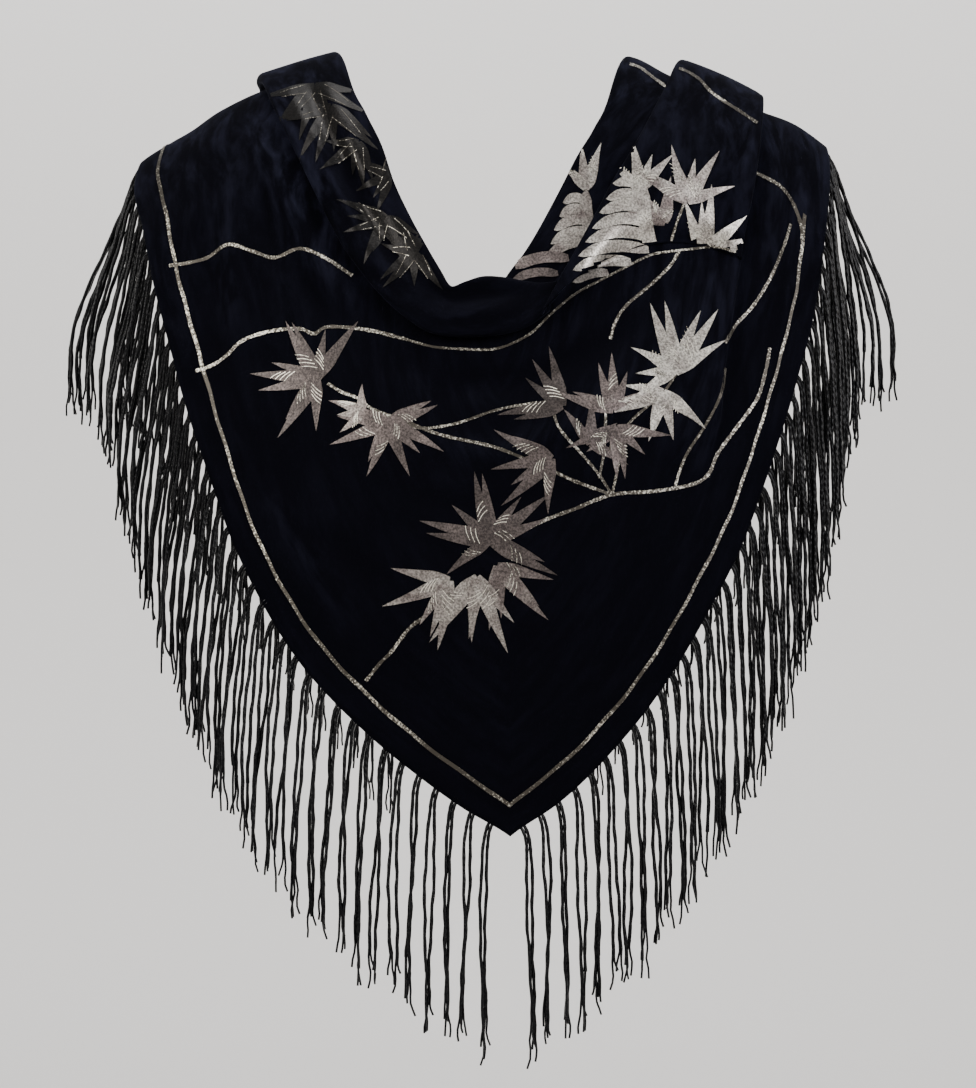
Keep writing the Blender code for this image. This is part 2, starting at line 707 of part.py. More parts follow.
def main():
    clear_scene()
    left_front, right_front = front_drop()
    neck_roll()
    right_inner_pleat()
    right_middle_pleat()
    left_back = tail("left_tail", LEFT_TAIL, LEFT_PLEATS, (0.005, 0.005, 0.012))
    right_back = tail("right_tail", RIGHT_TAIL, RIGHT_PLEATS, (0.006, 0.006, 0.013))
    fringe("front_left_fringe", left_front, HANG_FRONT_LEFT, PITCH_FRONT, (SHOULDER_CLEARANCE, TIP_CLEARANCE))
    fringe("front_right_fringe", right_front, HANG_FRONT_RIGHT, PITCH_FRONT, (SHOULDER_CLEARANCE, TIP_CLEARANCE))
    fringe("back_left_fringe", left_back, HANG_BACK, PITCH_BACK, (END_CLEARANCE, END_CLEARANCE), -1)
    fringe("back_right_fringe", right_back, HANG_BACK, PITCH_BACK, (END_CLEARANCE, END_CLEARANCE))


main()
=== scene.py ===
"""Looks of a velvet scarf with a yarn fringe, worn with its point to the front.

The cloth is laid out as in the part's source: a place is an x and a root of the fall below the
shoulder line, negative behind it, and cloth stands off the general figure by a lift. Lengths in
the tables are millimetres; +Z is up and the front faces -Y.
"""

import json
import math
from collections import namedtuple

import bmesh
import bpy
import numpy as np
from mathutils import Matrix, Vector
from mathutils.bvhtree import BVHTree

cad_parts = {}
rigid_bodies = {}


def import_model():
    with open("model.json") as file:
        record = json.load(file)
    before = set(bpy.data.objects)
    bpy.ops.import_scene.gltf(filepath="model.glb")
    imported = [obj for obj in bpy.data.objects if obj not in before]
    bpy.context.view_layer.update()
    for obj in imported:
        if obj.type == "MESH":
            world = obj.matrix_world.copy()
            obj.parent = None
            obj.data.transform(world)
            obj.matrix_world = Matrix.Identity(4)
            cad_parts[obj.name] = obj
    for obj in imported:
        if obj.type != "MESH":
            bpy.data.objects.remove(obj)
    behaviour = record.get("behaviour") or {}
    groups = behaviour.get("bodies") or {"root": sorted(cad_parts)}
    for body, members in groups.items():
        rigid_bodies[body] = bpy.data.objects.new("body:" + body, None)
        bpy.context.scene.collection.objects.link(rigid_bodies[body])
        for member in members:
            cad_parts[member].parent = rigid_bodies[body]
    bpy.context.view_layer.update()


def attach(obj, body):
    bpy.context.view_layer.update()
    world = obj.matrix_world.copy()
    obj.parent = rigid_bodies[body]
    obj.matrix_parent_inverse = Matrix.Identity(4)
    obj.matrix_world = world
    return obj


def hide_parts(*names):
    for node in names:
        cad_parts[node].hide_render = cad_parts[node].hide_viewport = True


bl_info = {
    "name": "Velvet scarf",
    "version": (1, 0, 0),
    "blender": (4, 5, 0),
    "location": "View3D > Sidebar > Scarf",
    "description": "Velvet shells, woven leaf pattern and yarn fringe of a worn scarf",
    "category": "Object",
}

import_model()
MM = 0.001

# ---------------------------------------------------------------- the general figure and the cut

Ridge = namedtuple("Ridge", "x height")
SHOULDER_LINE = (
    Ridge(-215, -32),
    Ridge(-199, -18),
    Ridge(-186, -10),
    Ridge(-173, -3),
    Ridge(-158, 8),
    Ridge(-143, 16),
    Ridge(-115, 26),
    Ridge(-86, 34),
    Ridge(0, 44),
    Ridge(80, 36),
    Ridge(107, 28),
    Ridge(130, 19),
    Ridge(158, 8),
    Ridge(180, -1),
    Ridge(195, -12),
    Ridge(212, -28),
)
Depth = namedtuple("Depth", "z depth")
CHEST = (
    Depth(-600, 136),
    Depth(-404, 139),
    Depth(-250, 138),
    Depth(-180, 125),
    Depth(-100, 100),
    Depth(-50, 84),
    Depth(0, 72),
    Depth(60, 60),
)
BACK = (
    Depth(-600, 88),
    Depth(-300, 96),
    Depth(-200, 102),
    Depth(-120, 96),
    Depth(-60, 82),
    Depth(0, 66),
    Depth(60, 56),
)
HALF_WIDTH = 228.0
ROUNDNESS = 2.4
SHOULDER_DROP = 70.0
SEAM_FALL = 5.0

FRONT, BEHIND, SEAM = 1, -1, 0
Section = namedtuple("Section", "side outer_x outer_z inner_x inner_z")


def rows_on(side, *rows):
    """Sections on one side of the figure, each an outer and an inner place as x and z."""
    return tuple(Section(side, *row) for row in rows)


DROP_LEFT = rows_on(
    SEAM,
    (-200, SEAM_FALL, -118, SEAM_FALL),
) + rows_on(
    FRONT,
    (-200, -18, -118, 26), (-202, -38, -112, 6), (-195, -64, -102, -12), (-188, -95, -93, -32),
    (-178, -130, -83, -52), (-167, -167, -72, -72), (-153, -206, -60, -88), (-138, -246, -46, -102),
    (-118, -284, -33, -113), (-95, -316, -22, -119), (-64, -347, -12, -121), (-28, -376, -4, -121),
    (11, -403, 5, -120),
)
DROP_RIGHT = rows_on(
    FRONT,
    (11, -403, 5, -120), (46, -375, 13, -115), (76, -343, 23, -110), (100, -310, 33, -101),
    (120, -276, 44, -88), (137, -243, 56, -74), (150, -210, 67, -61), (161, -178, 77, -46),
    (171, -147, 87, -30), (180, -116, 96, -14), (186, -84, 105, 0), (190, -54, 113, 13),
    (193, -28, 119, 20), (193, -10, 123, 22),
) + rows_on(
    SEAM,
    (193, SEAM_FALL, 124, SEAM_FALL),
)
NECK_ROLL = rows_on(
    SEAM,
    (-134, SEAM_FALL, -87, SEAM_FALL),
) + rows_on(
    FRONT,
    (-134, 20, -87, 34), (-125, 7, -78, 14), (-115, -13, -69, -5), (-106, -31, -60, -23),
    (-96, -52, -53, -44), (-85, -74, -44, -64), (-74, -91, -35, -81), (-62, -106, -27, -95),
    (-50, -118, -21, -104), (-34, -129, -13, -101), (-17, -132, -4, -98), (1, -131, 7, -98),
    (14, -128, 17, -99), (24, -123, 27, -100), (33, -116, 38, -99),
)
INNER_PLEAT = rows_on(
    SEAM,
    (120, SEAM_FALL, 79, SEAM_FALL),
) + rows_on(
    FRONT,
    (120, 24, 79, 37), (111, 14, 68, 12), (99, -8, 59, -8), (88, -26, 49, -25), (77, -43, 40, -43),
    (65, -60, 30, -62), (55, -76, 20, -79), (45, -89, 9, -94), (37, -100, 4, -105),
)
MIDDLE_PLEAT = rows_on(
    SEAM,
    (157, SEAM_FALL, 108, SEAM_FALL),
) + rows_on(
    FRONT,
    (157, 9, 108, 28), (155, 0, 100, 15), (152, -18, 90, -5), (149, -36, 80, -23), (146, -52, 69, -41),
    (143, -66, 59, -61), (141, -76, 49, -80), (140, -82, 38, -100), (140, -86, 28, -120),
)
LEFT_TAIL = rows_on(
    BEHIND,
    (-197, -45, -86, 4), (-187, -76, -83, -24), (-173, -108, -79, -54), (-157, -139, -75, -85),
    (-139, -169, -71, -116), (-120, -197, -67, -147), (-101, -223, -63, -178), (-82, -247, -59, -209),
    (-64, -269, -55, -238), (-50, -284, -47, -262),
)
RIGHT_TAIL = rows_on(
    BEHIND,
    (190, -40, 79, 6), (181, -70, 77, -22), (168, -101, 74, -51), (153, -131, 71, -80),
    (136, -160, 68, -110), (118, -188, 65, -140), (100, -214, 62, -170), (82, -238, 58, -200),
    (65, -259, 54, -228), (51, -274, 47, -252),
)

# Soft folds of the front: a ridge (+) or trough (-) along a path, or a step down to its outer side
Fold = namedtuple("Fold", "kind height width path")
DROP_FOLDS = (
    Fold(
        "step", 7.5, 3.6,
        ((143, -66), (140, -86), (137, -104), (134, -120), (130, -145), (127, -175), (117, -208))
    ),
    Fold("soft", -2.6, 7.0, ((-157, -20), (-158, -90), (-153, -165))),
    Fold("soft", 1.6, 6.0, ((-146, -24), (-146, -80), (-140, -140))),
    Fold("soft", -2.4, 5.0, ((-128, -26), (-127, -60), (-121, -96))),
    Fold("soft", 4.0, 8.0, ((-134, -4), (-118, -45), (-98, -85), (-76, -115))),
    Fold("soft", -2.8, 6.0, ((-112, -72), (-101, -100), (-88, -126))),
    Fold("soft", -2.2, 9.0, ((-92, -232), (-76, -254), (-60, -272))),
    Fold("soft", -3.2, 5.0, ((177, -5), (174, -48), (168, -100))),
    Fold("soft", 2.4, 6.0, ((164, -8), (160, -62), (152, -120))),
    Fold("soft", -3.4, 9.0, ((-56, -140), (-20, -156), (25, -154), (72, -126), (108, -98))),
    Fold("soft", 3.0, 8.0, ((-40, -186), (5, -196), (48, -180), (86, -146))),
    Fold("soft", -1.6, 7.0, ((-60, -214), (0, -226), (60, -212), (104, -168))),
)
ROLL_FOLDS = (
    Fold("soft", -4.2, 5.0, ((-108, 26), (-101, 8), (-88, -20), (-72, -56), (-54, -86), (-36, -104))),
    Fold("soft", 2.4, 5.0, ((-122, 24), (-106, -2), (-92, -32), (-72, -76), (-52, -106))),
    Fold("soft", 1.8, 4.0, ((-96, 24), (-82, -10), (-66, -46), (-48, -78))),
    Fold("soft", -2.8, 4.0, ((-40, -104), (-20, -110), (4, -108), (18, -106))),
    Fold("soft", 2.4, 5.0, ((-38, -120), (-12, -121), (8, -118), (20, -113))),
)
PLEAT_FOLDS = (
    Fold("soft", -2.0, 8.0, ((122, 22), (112, -10), (98, -44))),
    Fold("soft", 2.2, 9.0, ((140, 14), (134, -20), (124, -60))),
)

# Walls of the velvet shells, the cells of their grids, and how far the front goes past its solid
WALL = 1.3
FOLDED_WALL = 0.9
CELL = 3.4
FOLDED_CELL = 2.6
EDGE_COVER = 2.6

# ---------------------------------------------------------------- the woven pattern

# A spray of pointed leaves: place in the front view, the fan of its leaves in degrees from the right, and
# tone, with painted light in it: low on the cowl as painted shade, and high towards the right shoulder
# as silver that is partly painted highlight
Spray = namedtuple("Spray", "sheet x z first last leaves length tone seed")
SPRAYS = (
    Spray("front", -96, -152, 60, 268, 10, 37, 0.20, 1),
    Spray("front", -56, -177, 150, 395, 10, 33, 0.38, 2),
    Spray("front", -70, -171, 110, 230, 4, 19, 0.50, 3),
    Spray("front", 0, -242, -35, 208, 11, 39, 0.30, 4),
    Spray("front", -22, -264, 172, 268, 6, 37, 0.58, 5),
    Spray("front", -7, -262, 222, 305, 6, 42, 0.62, 6),
    Spray("front", 4, -256, 262, 345, 5, 38, 0.46, 28),
    Spray("front", 40, -168, 95, 205, 5, 34, 0.20, 7),
    Spray("front", 68, -170, 35, 170, 6, 31, 0.42, 8),
    Spray("front", 34, -197, 140, 255, 6, 36, 0.36, 9),
    Spray("front", 55, -189, -20, 120, 5, 26, 0.30, 10),
    Spray("front", 70, -180, 200, 345, 6, 29, 0.42, 11),
    # The sprays towards the right shoulder have high tones: silver that is partly painted highlight
    Spray("front", 96, -160, 165, 330, 8, 29, 0.76, 12),
    Spray("front", 103, -149, 42, 112, 7, 41, 0.82, 13),
    Spray("front", 103, -148, 140, 205, 4, 26, 0.88, 14),
    Spray("middle", 111, -52, 30, 150, 8, 33, 0.60, 15),
    Spray("middle", 98, -64, 70, 165, 5, 25, 0.55, 16),
    Spray("middle", 120, -81, 15, 115, 6, 37, 0.80, 17),
    Spray("middle", 84, -46, 55, 125, 5, 30, 0.80, 18),
    Spray("inner", 54, -44, 55, 120, 4, 28, 0.70, 19),
    # The cowl's leaves have tones near 0: painted shade, as the rolled cowl lies in shade
    Spray("cowl", -100, 18, 200, 345, 8, 34, 0.00, 20),
    Spray("cowl", -90, 4, 185, 330, 7, 36, 0.02, 21),
    Spray("cowl", -74, -18, 180, 300, 6, 26, 0.02, 22),
    Spray("cowl", -57, -38, 60, 265, 7, 20, 0.05, 23),
    Spray("cowl", -58, -62, 150, 345, 8, 28, 0.02, 24),
    Spray("cowl", -42, -82, 80, 300, 8, 26, 0.04, 25),
)
BACK_SPRAYS = (Spray("front", -118, -112, 200, 400, 9, 34, 0.45, 26),)
# Broad palm leaves of stacked blades that bend across the pleats: root, tip, width at the middle
Blade = namedtuple("Blade", "sheet root tip width sag tone")
# The blades' tones are partly painted light too: silver on the pleats, which face the light
BLADES = (
    Blade("any", (66, -92), (46, -98), 5.0, -1.5, 0.72),
    Blade("any", (79, -86), (46, -92), 6.4, -3.0, 0.76),
    Blade("any", (89, -79), (49, -84), 6.6, -4.0, 0.80),
    Blade("any", (91, -72), (53, -76), 6.6, -4.5, 0.80),
    Blade("middle", (91, -65), (57, -68), 6.6, -4.5, 0.82),
    Blade("middle", (90, -59), (61, -59), 6.6, -4.5, 0.84),
    Blade("middle", (89, -53), (65, -51), 6.4, -4.0, 0.84),
    Blade("middle", (87, -47), (69, -42), 6.0, -3.5, 0.84),
    Blade("middle", (91, -80), (86, -42), 8.0, 2.0, 0.82),
    Blade("inner", (60, -74), (31, -84), 6.0, -3.5, 0.62),
    Blade("inner", (59, -69), (34, -76), 6.0, -3.5, 0.64),
    Blade("inner", (58, -63), (36, -68), 6.0, -3.5, 0.66),
    Blade("inner", (56, -58), (39, -60), 6.0, -3.5, 0.66),
    Blade("inner", (55, -52), (41, -52), 5.6, -3.0, 0.66),
    Blade("inner", (59, -76), (54, -44), 7.0, 2.0, 0.64),
    Blade("inner", (44, -84), (12, -90), 6.5, -3.0, 0.42),
    Blade("inner", (38, -93), (12, -97), 5.0, -2.5, 0.32),
)
# Stems and the frame line, as paths in the front view; "any" is whichever cloth lies uppermost there
Line = namedtuple("Line", "sheet width path")
STEMS = (
    Line(
        "front", 1.9,
        (
            (-182, -86), (-172, -85), (-160, -82), (-148, -75), (-134, -79), (-121, -83), (-107, -78),
            (-92, -84), (-77, -94)
        )
    ),
    Line(
        "front", 1.9,
        (
            (-165, -147), (-156, -144), (-148, -139), (-138, -130), (-122, -125), (-106, -124),
            (-98, -127), (-90, -123), (-68, -125), (-48, -130)
        )
    ),
    Line(
        "any", 1.3,
        (
            (-48, -130), (-32, -134.5), (-14, -136), (2, -136), (14, -132), (24, -126), (33, -117),
            (47, -105), (63, -96), (78, -88), (90, -82), (100, -80), (112, -78.5), (126, -77),
            (138, -80)
        )
    ),
    Line(
        "front", 1.7,
        (
            (-90, -155), (-82, -160), (-74, -163), (-64, -170), (-50, -175), (-27, -184), (3, -191),
            (30, -202), (48, -210), (67, -217)
        )
    ),
    Line("front", 1.4, ((-58, -174), (-40, -180), (-20, -178), (4, -170), (26, -166))),
    Line(
        "front", 1.9,
        (
            (12, -240), (30, -231), (46, -225), (67, -217), (90, -215), (112, -211), (121, -205),
            (126, -194), (138, -178), (149, -163), (154, -148), (157, -134)
        )
    ),
    Line("front", 1.5, ((102, -212), (106, -200), (110, -192), (120, -177), (128, -161), (131, -146))),
    Line("front", 1.5, ((67, -217), (60, -206), (50, -194), (38, -180), (34, -166))),
    Line("front", 1.4, ((67, -217), (70, -204), (73, -188))),
    Line("front", 1.4, ((60, -208), (63, -190), (64, -164))),
    Line("front", 1.4, ((62, -196), (78, -176), (96, -160), (108, -142))),
    Line("front", 1.8, ((-68, -319), (-60, -309), (-54, -303), (-44, -290), (-34, -282), (-26, -270))),
    Line("front", 1.8, ((171, -62), (166, -76), (158, -94), (148, -110), (138, -121), (131, -132))),
    Line("any", 1.7, ((67, -130), (70, -120), (76, -111), (91, -98), (101, -88), (106, -80))),
    Line("middle", 1.4, ((100, -80), (104, -66), (110, -50))),
    Line("middle", 2.0, ((109, 30), (114, 28), (121, 23), (126, 16), (133, 10), (142, 4), (153, -3))),
    Line("inner", 2.0, ((81, 34), (87, 32), (94, 26), (100, 21), (108, 13))),
    Line("front", 2.0, ((177.6, -72), (177, -62), (173, -50), (167, -42), (160, -37), (150, -32))),
)
FRAME_INSET = 13.0

# ---------------------------------------------------------------- the fringe

Hang = namedtuple("Hang", "along leaves drift_x drift_y length")
HANG_FRONT_LEFT = (
    Hang(0.00, 13, -40, 6, 150),
    Hang(0.05, 10, -27, 2, 146),
    Hang(0.12, 7, -17, -3, 140),
    Hang(0.30, 7, -12, -4, 146),
    Hang(0.60, 7, -7, -4, 138),
    Hang(1.00, 7, -1, -3, 132),
)
HANG_FRONT_RIGHT = (
    Hang(0.00, 13, 36, 6, 148),
    Hang(0.05, 10, 22, 4, 150),
    Hang(0.12, 7, 8, 0, 158),
    Hang(0.30, 7, 3, -4, 160),
    Hang(0.60, 7, 3, -4, 142),
    Hang(1.00, 7, 1, -3, 132),
)
HANG_BACK = (
    Hang(0.00, 7, 14, 8, 146),
    Hang(0.20, 7, 6, 6, 142),
    Hang(1.00, 7, 2, 4, 132),
)


def smooth(rows, at):
    """A smooth curve through the rows of a two-column table."""
    table = np.array(rows, float)
    xs, ys = table[:, 0], table[:, 1]
    slope = np.gradient(ys, xs)
    at = np.clip(np.asarray(at, float), xs[0], xs[-1])
    k = np.clip(np.searchsorted(xs, at) - 1, 0, len(xs) - 2)
    gap = xs[k + 1] - xs[k]
    s = (at - xs[k]) / gap
    start = (1 + 2 * s) * (1 - s) ** 2 * ys[k] + s * (1 - s) ** 2 * gap * slope[k]
    end = s * s * (3 - 2 * s) * ys[k + 1] + s * s * (s - 1) * gap * slope[k + 1]
    return start + end


def between(at, start, end):
    """0 before the start and 1 after the end, with soft ends; the end may come first."""
    t = np.clip((at - start) / (end - start), 0.0, 1.0)
    return t * t * (3 - 2 * t)


def figure(x, root):
    """Points on the general figure, root being the signed square root of the fall below the shoulder
    line.
    """
    fall = np.minimum(np.abs(root), math.sqrt(SHOULDER_DROP)) ** 2
    turn = np.sqrt(np.clip(1 - (1 - fall / SHOULDER_DROP) ** 2, 0, 1))
    side = np.clip(1 - (np.abs(x) / HALF_WIDTH) ** ROUNDNESS, 0.0, 1.0) ** (1 / ROUNDNESS)
    z = smooth(SHOULDER_LINE, x) - root**2
    y = np.where(root > 0, -smooth(CHEST, z), smooth(BACK, z)) * side * turn
    return np.stack([x, y, z], axis=-1)


def lifted(x, root, lift):
    """Points that stand off the figure."""
    x, root, lift = np.broadcast_arrays(x, root, lift)
    step = 0.05
    across = figure(x + step, root) - figure(x - step, root)
    down = figure(x, root + step) - figure(x, root - step)
    out = np.cross(down, across)
    out /= np.linalg.norm(out, axis=-1, keepdims=True)
    return figure(x, root) + out * lift[..., None]


def roots(side, x, z):
    """Signed square root of the fall below the shoulder line."""
    front_or_back = side * np.sqrt(np.maximum(smooth(SHOULDER_LINE, x) - z, 0.0))
    return np.where(np.asarray(side) == SEAM, -np.sqrt(np.abs(z)), front_or_back)


class Stretch:
    """A stretch of cloth between two smooth edges that run through its sections."""

    def __init__(self, sections):
        table = np.array(sections, float)
        at = np.arange(len(table)) / (len(table) - 1)
        self.edges = []
        for x, z in ((table[:, 1], table[:, 2]), (table[:, 3], table[:, 4])):
            root = roots(table[:, 0], x, z)
            self.edges.append((np.stack([at, x], 1), np.stack([at, root], 1)))

    def edge(self, which, along):
        x, root = self.edges[which]
        return smooth(x, along), smooth(root, along)

    def spot(self, along, across):
        """x and root at a part of the way along and across, which may lie past an edge."""
        outer, inner = self.edge(0, along), self.edge(1, along)
        return tuple(a + (b - a) * across for a, b in zip(outer, inner))

    def width(self, along):
        outer, inner = (figure(*self.edge(k, along)) for k in (0, 1))
        return np.linalg.norm(outer - inner, axis=-1)

    def rows(self, cell):
        """Places along that lie about a cell apart on the longer edge."""
        fine = np.linspace(0, 1, 600)
        hops = [np.linalg.norm(np.diff(figure(*self.edge(k, fine)), axis=0), axis=1) for k in (0, 1)]
        run = np.concatenate([[0], np.cumsum(np.maximum(*hops))])
        return np.interp(np.linspace(0, run[-1], int(run[-1] / cell) + 1), run, fine)


def part_of(sections, start, end):
    """The same sections narrowed to a part of the way across."""
    narrowed = []
    for s in sections:
        wide, high = s.inner_x - s.outer_x, s.inner_z - s.outer_z
        narrowed.append(
            Section(
                s.side, s.outer_x + wide * start, s.outer_z + high * start, s.outer_x + wide * end,
                s.outer_z + high * end
            )
        )
    return tuple(narrowed)


def fold_relief(folds, x, z):
    """How far soft folds raise or sink the cloth at a place of the front view."""
    total = np.zeros(np.shape(x))
    for fold in folds:
        path = np.array(fold.path, float)
        lengths = np.linalg.norm(np.diff(path, axis=0), axis=1)
        run = np.concatenate([[0], np.cumsum(lengths)])
        nearest = np.full(np.shape(x), 1e9)
        signed = np.zeros(np.shape(x))
        along = np.zeros(np.shape(x))
        for k, length in enumerate(lengths):
            (ax, az), (dx, dz) = path[k], (path[k + 1] - path[k]) / length
            t = np.clip((x - ax) * dx + (z - az) * dz, 0, length)
            px, pz = x - ax - t * dx, z - az - t * dz
            away = np.hypot(px, pz)
            closer = away < nearest
            nearest = np.where(closer, away, nearest)
            signed = np.where(closer, np.sign(px * dz - pz * dx) * away, signed)
            along = np.where(closer, (run[k] + t) / run[-1], along)
        fade = np.sin(math.pi * along) ** 0.7
        if fold.kind == "step":
            shape = between(signed, -fold.width / 2, fold.width / 2)
            shape = shape * np.exp(-np.maximum(signed, 0) / (9 * fold.width))
        else:
            shape = np.exp(-((nearest / fold.width) ** 2))
        total += fold.height * fade * shape
    return total


def drape_waves(x, z):
    """Slight unevenness of cloth that isn't ironed flat."""
    broad = np.sin(x / 17 + 1.3 * np.sin(z / 41)) * np.sin(z / 23 + 0.9 * np.sin(x / 31))
    small = np.sin(x / 7.3 - z / 13.0 + 1.1) * np.sin(z / 8.9 + x / 29.0)
    return 0.45 * broad + 0.16 * small


def turned_edge(radius, top, hem):
    """Distance in from a folded edge, and lift, from the end of the hem round to the top."""
    rows = [(radius + hem, top - 2 * radius), (radius + hem / 2, top - 2 * radius)]
    for degrees in range(0, 181, 20):
        turn = math.radians(degrees)
        rows.append((radius - radius * math.sin(turn), top - radius - radius * math.cos(turn)))
    return rows


# ---------------------------------------------------------------- materials


def linear(hex_colour):
    """An sRGB hex colour as linear red, green, blue and alpha."""
    shares = [int(hex_colour[i : i + 2], 16) / 255 for i in (1, 3, 5)]
    return (*(s / 12.92 if s <= 0.04045 else ((s + 0.055) / 1.055) ** 2.4 for s in shares), 1.0)


def add(material, kind, settings=None, values=None, links=None):
    """Adds a node with its settings, the values of its sockets and the sockets that feed it."""
    made = material.node_tree.nodes.new(kind)
    for name, value in (settings or {}).items():
        setattr(made, name, value)
    for socket, value in (values or {}).items():
        made.inputs[socket].default_value = value
    for socket, source in (links or {}).items():
        material.node_tree.links.new(source, made.inputs[socket])
    return made


def new_material(name, shader_values):
    """A material whose shader has these constants on its sockets."""
    material = bpy.data.materials.new(name)
    material.use_nodes = True
    shader = material.node_tree.nodes["Principled BSDF"]
    for socket, value in shader_values.items():
        shader.inputs[socket].default_value = value
    return material, shader


def feed(material, shader, **sources):
    """Links sources to the shader's sockets of the same names."""
    for socket, source in sources.items():
        material.node_tree.links.new(source, shader.inputs[socket.replace("_", " ")])


def velvet_material(looks):
    """Viscose pile velvet on a silk ground: nearly black, with a blue-grey sheen painted into its colour
    where the sheen mask is high, along the shoulders and fold crests.
    """
    if "viscose_pile_velvet" in bpy.data.materials:
        return bpy.data.materials["viscose_pile_velvet"]
    material, shader = new_material(
        "viscose_pile_velvet",
        {
            "Roughness": 0.95,
            "Specular IOR Level": 0.04,
            "Sheen Weight": 0.16,
            "Sheen Roughness": 0.24,
            "Sheen Tint": linear("#5a5e78"),
        },
    )
    place = add(material, "ShaderNodeTexCoord")
    along_pile = add(
        material, "ShaderNodeMapping", values={"Scale": (1.0, 0.36, 1.0)},
        links={"Vector": place.outputs["UV"]}
    )
    # Painted sheen in patches about 15 mm across, drawn out along the pile, with streaks of 5 mm in them
    patches = add(
        material,
        "ShaderNodeTexNoise",
        values={"Scale": 1 / 0.015, "Detail": 4.0, "Roughness": 0.65, "Distortion": 0.7},
        links={"Vector": along_pile.outputs["Vector"]},
    )
    streaks = add(
        material,
        "ShaderNodeTexNoise",
        values={"Scale": 1 / 0.005, "Detail": 2.0, "Roughness": 0.5},
        links={"Vector": along_pile.outputs["Vector"]},
    )
    both = add(
        material, "ShaderNodeMath", {"operation": "MULTIPLY_ADD"}, {1: 0.35},
        {0: streaks.outputs["Fac"], 2: patches.outputs["Fac"]}
    )
    brushed = add(
        material,
        "ShaderNodeMapRange",
        {"interpolation_type": "SMOOTHSTEP"},
        {"From Min": 0.54, "From Max": 0.94},
        {"Value": both.outputs[0]},
    )
    nap = add(material, "ShaderNodeAttribute", {"attribute_name": "nap"})
    shown = add(
        material, "ShaderNodeMath", {"operation": "MULTIPLY"}, {},
        {0: brushed.outputs["Result"], 1: nap.outputs["Fac"]}
    )
    # Painted sheen: the deep colour is mixed towards the sheen colour where the patches and the sheen mask
    # are high
    colour = add(
        material, "ShaderNodeMix", {"data_type": "RGBA"},
        {6: linear(looks["deep"]), 7: linear(looks["brushed"])}, {0: shown.outputs[0]}
    )
    # The pile itself is finer than a pixel: its grain is drawn 1.1 mm coarse
    grain = add(
        material, "ShaderNodeTexNoise", values={"Scale": 1 / 0.0011, "Detail": 1.0},
        links={"Vector": place.outputs["UV"]}
    )
    relief = add(
        material, "ShaderNodeBump", values={"Strength": 0.25, "Distance": 0.0004},
        links={"Height": grain.outputs["Fac"]}
    )
    feed(material, shader, Base_Color=colour.outputs[2], Normal=relief.outputs["Normal"])
    return material


def lame_material(looks):
    """Devore ground woven with flat metallised thread: pewter to silver, grainy where the weave turns the
    light.
    """
    if "metallised_thread_cloth" in bpy.data.materials:
        return bpy.data.materials["metallised_thread_cloth"]
    material, shader = new_material(
        "metallised_thread_cloth", {"Metallic": 0.8, "Roughness": 0.4, "Specular IOR Level": 0.5}
    )
    place = add(material, "ShaderNodeTexCoord")
    tone = add(material, "ShaderNodeAttribute", {"attribute_name": "tone"})
    # Patches of 9 mm that make the leaves lighter or darker, and thread flecks drawn at 1.1 mm
    patches = add(
        material, "ShaderNodeTexNoise", values={"Scale": 1 / 0.009, "Detail": 2.0},
        links={"Vector": place.outputs["Object"]}
    )
    flecks = add(
        material, "ShaderNodeTexNoise", values={"Scale": 1 / 0.0011, "Detail": 1.0, "Roughness": 0.6},
        links={"Vector": place.outputs["Object"]}
    )
    patched = add(
        material, "ShaderNodeMath", {"operation": "MULTIPLY_ADD"}, {1: 1.1, 2: 0.45},
        {0: patches.outputs["Fac"]}
    )
    lit_toned = add(
        material, "ShaderNodeMath", {"operation": "MULTIPLY", "use_clamp": True}, {},
        {0: tone.outputs["Fac"], 1: patched.outputs[0]}
    )
    # The ramp runs from the shaded colour, which is painted shade, through pewter to silver, which is
    # partly painted highlight
    metal = add(material, "ShaderNodeValToRGB", links={"Fac": lit_toned.outputs[0]})
    stops = metal.color_ramp.elements
    stops[0].position, stops[0].color = 0.06, linear(looks["shaded"])
    stops[1].color = linear(looks["silver"])
    stops.new(0.46).color = linear(looks["pewter"])
    fleck = add(
        material, "ShaderNodeMapRange",
        values={"From Min": 0.36, "From Max": 0.64, "To Min": 0.5, "To Max": 1.3},
        links={"Value": flecks.outputs["Fac"]}
    )
    colour = add(
        material, "ShaderNodeMix", {"data_type": "RGBA", "blend_type": "MULTIPLY"}, {0: 1.0},
        {6: metal.outputs["Color"], 7: fleck.outputs["Result"]}
    )
    relief = add(
        material, "ShaderNodeBump", values={"Strength": 0.5, "Distance": 0.0003},
        links={"Height": flecks.outputs["Fac"]}
    )
    feed(material, shader, Base_Color=colour.outputs[2], Normal=relief.outputs["Normal"])
    return material


